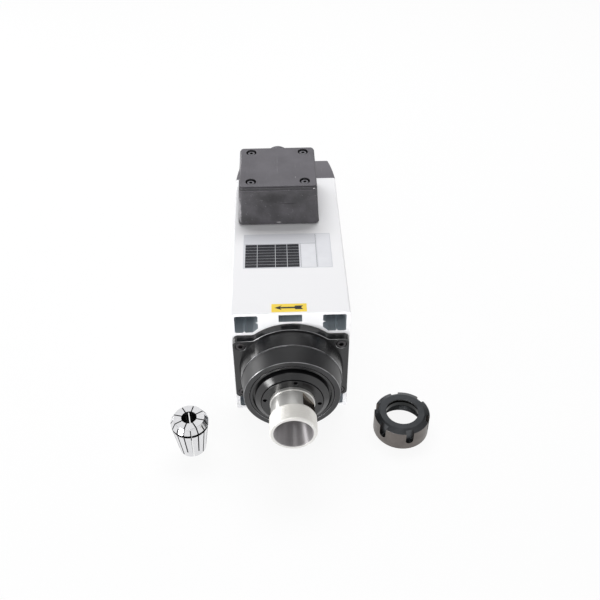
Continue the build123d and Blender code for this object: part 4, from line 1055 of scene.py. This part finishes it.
# Bright passivated zinc, blue-white with a spangle of about a millimetre
spangle = add(tree, "ShaderNodeTexVoronoi", {"Vector": place, "Scale": 900.0}).outputs["Distance"]
coloured(tree, shader, spangle, "#C4C8CC", "#DADCDD")
dressed(zinc, "box_mounting_screws", "earth_screw")


# Terminal box lid: moulded like the base and closing on its rim gasket, with a sunk well in each
# corner for a screw. A plain band runs round it, and its top is set in a little above that.

lid_inset = 0.8
lid_radius = 0.8
lid_step = 160.9
lid_ceiling = 160.0
seat_height = 156.0
lid_edge = [box_ring(lid_top - fall, lid_inset + inset) for fall, inset in eased(lid_radius)]
lid = lofted([
    box_ring(lid_ceiling, box_wall), box_ring(box_rim, box_wall), box_ring(box_rim, 0.45),
    box_ring(box_rim + 0.45), box_ring(lid_step - 0.5), box_ring(lid_step - 0.1, 0.2),
    box_ring(lid_step, lid_inset + 0.35), box_ring(lid_step + 0.35, lid_inset),
] + lid_edge)
facing(lid, *box_center, 0)
wells = pegs(cylinder(well_bottom, lid_top - 1.4, 6.3), 48, lid_places)
lid = combined(lid, gathered(wells), "UNION")
cuts = pegs(rounded([
    (well_bottom - 1, 0), (well_bottom - 1, 2.3), (seat_height, 2.3), (seat_height, 5.0),
    (lid_top - 0.3, 5.0), (lid_top, 5.3), (lid_top + 1, 5.3), (lid_top + 1, 0),
]), 56, lid_places)
lid = combined(lid, gathered(cuts))
piece("terminal_box_cover", lid, [abs_grey], "motor_body", ["terminal_box_lid"])

lid_head = 5.6
tall_m4 = (2.0, 3.5, lid_head, 3.0)
phosphated, tree, shader, place = surface("grey phosphated screw steel", Metallic=0.2, Roughness=0.5)
# A dull grey phosphate skin, a little mottled
mottled(tree, shader, place, 700.0, 3.0, "#626166", "#77767B")


def lid_screw_painted_socket_shade(center, normal):
    """Painted shade: black rubber inside the hexagon of each head, grey phosphate elsewhere."""
    nearest = min(math.hypot(center.x - x, center.y - y) for x, y in lid_screws)
    return 1 if seat_height + 0.5 < center.z < seat_height + lid_head - 0.1 and nearest < 1.9 else 0


# The black in the sockets is painted shade
screws = socket_screws([(x, y, seat_height) for x, y in lid_screws], tall_m4, 16, 0, phosphated)
piece("terminal_box_cover_bolts", screws, [phosphated, rubber], "motor_body", ["lid_screws"],
      lid_screw_painted_socket_shade)


# Cable gland: moulded nylon, a hexagon that is screwed through the pad, and a fluted dome nut
# that squeezes the rubber seal on the supply cable.

gland_grey, tree, shader, place = surface("grey moulded nylon", Roughness=0.45, IOR=1.53)
# Smooth mould skin with faint flow marks
links = {"Vector": place, "Scale": 120.0, "Detail": 3.0, "Distortion": 0.6}
flow = add(tree, "ShaderNodeTexNoise", links).outputs[0]
coloured(tree, shader, flow, "#5F5E63", "#6F6D73")
dressed(gland_grey, "cable_gland_locknut")

hexagon = arc((0, 0), 24 / math.sqrt(3), 30, 330, 5)
gland = extruded([rounded(hexagon, 1.0, 4)], 0, 5.0, 0.4)
stub = turned(threaded(-9.0, 15.0, 10.0, rows=6) + [(15.0, 6.5), (-9.0, 6.5)], 72)
stub = grown(thread, stub, gland_grey, Start=-9.0, End=15.0, Inside=9.8, Outside=10.5, Depth=0.6)
core = turned(cylinder(-1, 6, 8), 48)
gland = combined(combined(gland, core), stub, "UNION")
facing(gland, *gland_place, -90)
piece("gland_body", gland, [gland_grey], "motor_body", ["cable_gland_body"])

nut = turned(rounded([
    (5.6, 10.05), (5.6, 12.0, 0.4), (15.0, 12.0, 3.0), (20.6, 8.6, 2.4), (20.6, 6.5, 0.4), (15.4, 6.5),
    (15.4, 10.05),
], steps=6), 144)
flute = extruded([arc((12.5, 0), 0.8, 0, 342, 19)], 4.0, 13.4, 0.3, 1)
flutes = grown(around_axis, flute, gland_grey, Count=24, Turn=0.0)
nut = combined(nut, flutes)
facing(nut, *gland_place, -90)
piece("gland_nut", nut, [gland_grey], "motor_body", ["cable_gland_nut"])


# Rating plate: silver foil printed black, stuck to the top of the body. It carries a table of
# blank cells, two bare side panels in white, and the lines that part them.

foil, tree, shader, place = surface("brushed silver foil", Metallic=0.1, Roughness=0.5)
# Aluminised polyester with a brushed look, drawn along X
stretched = add(tree, "ShaderNodeMapping", {"Vector": place, "Scale": (0.03, 1.0, 1.0)}).outputs[0]
brush = add(tree, "ShaderNodeTexNoise", {"Vector": stretched, "Scale": 2500.0, "Detail": 2.0}).outputs[0]
coloured(tree, shader, brush, "#D2D3D8", "#E0E1E6")

ink, tree, shader, place = surface("black screen printing ink", Roughness=0.45, IOR=1.5)
# A thin even film, slightly starved of ink in places
mottled(tree, shader, place, 300.0, 5.0, "#1C1D21", "#34353A")

film, tree, shader, place = surface("white printed film", Roughness=0.4, IOR=1.5)
# White ink on the foil, a little grey where the metal shows through
mottled(tree, shader, place, 120.0, 3.0, "#DCDDE2", "#E9EAEE")

plate_z = body_height
foil_top = plate_z + 0.24
print_top = plate_z + 0.29
plate = extruded([rounded(rectangle(-41.5, -43.2, 40.0, 7.8), 1.0)], plate_z, foil_top, 0.05, 1)

cells, given = geometry_tree("column of cells", Rows=8, Width=10.0, Height=4.0, Pitch=4.25, Thickness=0.05)
drop = add(cells, "ShaderNodeMath", {0: given["Pitch"], 1: -1.0}, operation="MULTIPLY").outputs[0]
drop = add(cells, "ShaderNodeCombineXYZ", {1: drop}).outputs[0]
links = {"Count": given["Rows"], "Offset": drop}
column = add(cells, "GeometryNodeMeshLine", links, mode="OFFSET").outputs[0]
links = {0: given["Width"], 1: given["Height"], 2: given["Thickness"]}
size = add(cells, "ShaderNodeCombineXYZ", links).outputs[0]
cell = add(cells, "GeometryNodeMeshCube", {"Size": size}).outputs[0]
spread = add(cells, "GeometryNodeInstanceOnPoints", {"Points": column, "Instance": cell})
ended(cells, given, spread.outputs[0])

table_left, table_right, table_front, table_back = -39.8, 10.2, -42.0, -8.2
columns = (0, 0.225, 0.558, 0.775, 1)
rows = 8
row = (table_back - table_front) / rows
thickness = print_top - foil_top
prints = []
for left, right in zip(columns, columns[1:]):
    left = table_left + left * (table_right - table_left) + 0.22
    right = table_left + right * (table_right - table_left) - 0.22
    sizes = {"Rows": rows, "Width": right - left, "Height": row - 0.3, "Pitch": row, "Thickness": thickness}
    tile = grown(cells, bpy.data.meshes.new("none"), ink, **sizes)
    prints.append(facing(tile, (left + right) / 2, table_back - row / 2, (foil_top + print_top) / 2))
for line in ((11.4, -42.2, 11.55, -7.6), (-40.2, -7.5, 25.8, -7.35), (25.8, -42.6, 26.0, 6.6)):
    prints.append(extruded([rectangle(*line)], foil_top, print_top))
for panel in ((12.2, -42.2, 25.2, -8.2), (27.2, -42.4, 39.2, 6.8)):
    prints.append(extruded([rounded(rectangle(*panel), 0.4)], foil_top, print_top - 0.01))
plate = gathered([plate] + prints)


def printed(center, normal):
    """Ink on the cells and lines, white film on the side panels, foil elsewhere."""
    if center.z < foil_top + 0.001:
        return 0
    white = (12.1 < center.x < 25.3 and center.y < -8.1) or 27.1 < center.x < 39.3
    return 2 if white else 1


piece("rating_foil", plate, [foil, ink, film], "motor_body", ["rating_plate"], printed)


# Direction label: yellow vinyl stuck to the body's top, in front of the rating plate. Its printed
# arrow shows which way the nose turns.

vinyl, tree, shader, place = surface("yellow vinyl label", Roughness=0.38, IOR=1.52)
# Bright glossy film, a little uneven in colour
mottled(tree, shader, place, 150.0, 3.0, "#F0D04A", "#F7DA5A")
label = extruded([rounded(rectangle(-16, -101.7, 14.2, -91.6), 0.5)], plate_z, foil_top, 0.05, 1)
arrow_middle = -96.5
upper_edge = [(-13.4, 0), (-7.2, 2.9), (-8.6, 0.95), (3.6, 0.95), (4.6, 2.3), (11.2, 2.3), (9.4, 0)]
arrow = upper_edge + [(x, -y) for x, y in upper_edge[-2:0:-1]]
arrow = extruded([[(x, y + arrow_middle) for x, y in arrow]], foil_top, print_top)
piece("direction_sticker", gathered([label, arrow]), [vinyl, ink], "motor_body",
      ["direction_label"], lambda center, normal: 1 if center.z > foil_top + 0.001 else 0)


# Collet: spring steel, hardened and ground bright on both tapers, sawn from the front and from
# the rear in turn so that it can close. It stands on its small end.

collet_place = (-90.3, -147.0)
collet_steel, tree, shader, place = surface(
    "ground collet steel", Metallic=1.0, Roughness=0.2, Anisotropic=0.8, Anisotropic_Rotation=0.25)
# Mirror bright with grinding lines round it, drawn 0.4 mm apart
marks = turning_marks(tree, place, (collet_place[0] / 1000, collet_place[1] / 1000, 0), 0.4, upright=True)
coloured(tree, shader, marks, "#D6D6D8", "#EFEFF1")
tangent = add(tree, "ShaderNodeTangent", direction_type="RADIAL", axis="Z").outputs[0]
tree.links.new(tangent, shader.inputs["Tangent"])
bump = add(tree, "ShaderNodeBump", {"Height": marks, "Strength": 0.2, "Distance": 0.00003})
tree.links.new(bump.outputs[0], shader.inputs["Normal"])

collet_painted_shade, tree, shader, place = surface("collet steel painted dark as shade", Metallic=1.0, Roughness=0.5)
# Painted shade: the slots, the groove and the bore take a near-black steel
mottled(tree, shader, place, 800.0, 3.0, "#1A1A1B", "#3C3B3A")

tail = 31.2
tail_rise = tail * math.tan(math.radians(8))
groove_top = 34.2
collet = turned(rounded([
    (0, 6.35, 0.3), (0, 11.8, 0.5), (tail, 11.8 + tail_rise, 0.2), (tail, 13.6), (groove_top, 13.6),
    (groove_top, 16.5, 0.3), (34.8, 16.5, 0.3), (40, 13.5, 0.4), (40, 6.35, 0.4),
], steps=3), 128)
saw = rectangle(4, -0.55, 18, 0.55)
front_cut = extruded([saw], 7, 41)
rear_cut = extruded([saw], -1, 38.8)
collet = combined(collet, grown(around_axis, front_cut, collet_painted_shade, Count=8, Turn=math.radians(-14)))
collet = combined(collet, grown(around_axis, rear_cut, collet_painted_shade, Count=8, Turn=math.radians(8.5)))


def collet_finish(center, normal):
    """Painted shade in the saw cuts, the groove and the bore; bright outside."""
    radial = Vector((center.x - collet_place[0], center.y - collet_place[1], 0))
    radius = radial.length
    radial.normalize()
    sawn = abs(normal.dot(radial)) < 0.3 and abs(normal.z) < 0.5
    groove = tail - 0.1 < center.z < groove_top + 0.1 and radius < 15.9
    return 1 if sawn or groove or radius < 6.7 else 0


facing(collet, *collet_place, 0)
piece("loose_er32_collet", collet, [collet_steel, collet_painted_shade], "loose_collet", ["collet"],
      collet_finish)


# Collet nut: steel, turned and milled with six hook wrench slots, then blackened. It lies with
# its front up, the extractor ring held loosely in its groove.

nut_place = (99.4, -132.0)
oxide, tree, shader, place = surface("black oxide nut steel", Metallic=1.0, Roughness=0.4)
# Oiled black oxide over turned steel: brownish grey where the light catches it
marks = turning_marks(tree, place, (nut_place[0] / 1000, nut_place[1] / 1000, 0), 0.5, upright=True)
mottled(tree, shader, place, 140.0, 4.0, "#5F5B59", "#7C7672")
bump = add(tree, "ShaderNodeBump", {"Height": marks, "Strength": 0.25, "Distance": 0.00005})
tree.links.new(bump.outputs[0], shader.inputs["Normal"])

blued, tree, shader, place = surface("oiled black oxide", Metallic=1.0, Roughness=0.36)
# Darker and bluer than the side, on the front and its cone
mottled(tree, shader, place, 140.0, 4.0, "#494B4D", "#5F6164")

painted_shade_oxide, tree, shader, place = surface("black oxide painted dark as shade", Metallic=1.0, Roughness=0.3)
# Painted shade: the bore and the extractor ring go nearly black
mottled(tree, shader, place, 140.0, 4.0, "#28292A", "#3E3F3F")


def nut_finish(center, normal):
    """Brownish on the turned side, blue-black on the front and its cone, nearly black inside as painted
    shade.
    """
    out = math.hypot(center.x - nut_place[0], center.y - nut_place[1])
    if out < 20.4 and center.z < 20.5:
        return 2
    return 0 if out > 22.5 and abs(normal.z) < 0.35 and center.z < 20.2 else 1


nut = turned(
    rounded([(17.0, 16.9), (17.0, 21.05), (13.0, 21.05), (13.0, 20.05)])
    + threaded(12.6, 0.6, 20.05)
    + rounded([(0, 20.7), (0, 25.0, 0.6), (20.0, 25.0, 0.4), (22.5, 20.0, 0.4), (22.5, 14.2, 0.5)]), 120)
nut = grown(thread, nut, oxide, Start=0.2, End=13.0, Inside=19.0, Outside=20.3, Depth=-0.85)
slot_outline = rounded([(-3.5, 24), (-3.5, 7.5, 3.49), (3.5, 7.5, 3.49), (3.5, 24)], steps=8)
slot_cut = extruded([slot_outline], -26, -21.6)
slot_cut.transform(Matrix.Rotation(math.radians(90), 4, "Z") @ Matrix.Rotation(math.radians(90), 4, "X"))
slots = grown(around_axis, slot_cut, oxide, Count=6, Turn=math.radians(40))
nut = combined(nut, slots)
facing(nut, *nut_place, 0)
piece("loose_er32_nut", nut, [oxide, blued, painted_shade_oxide], "loose_nut", ["collet_nut"],
      nut_finish)
# The extractor ring takes the same painted shade
dressed(painted_shade_oxide, "nut_extractor_ring")
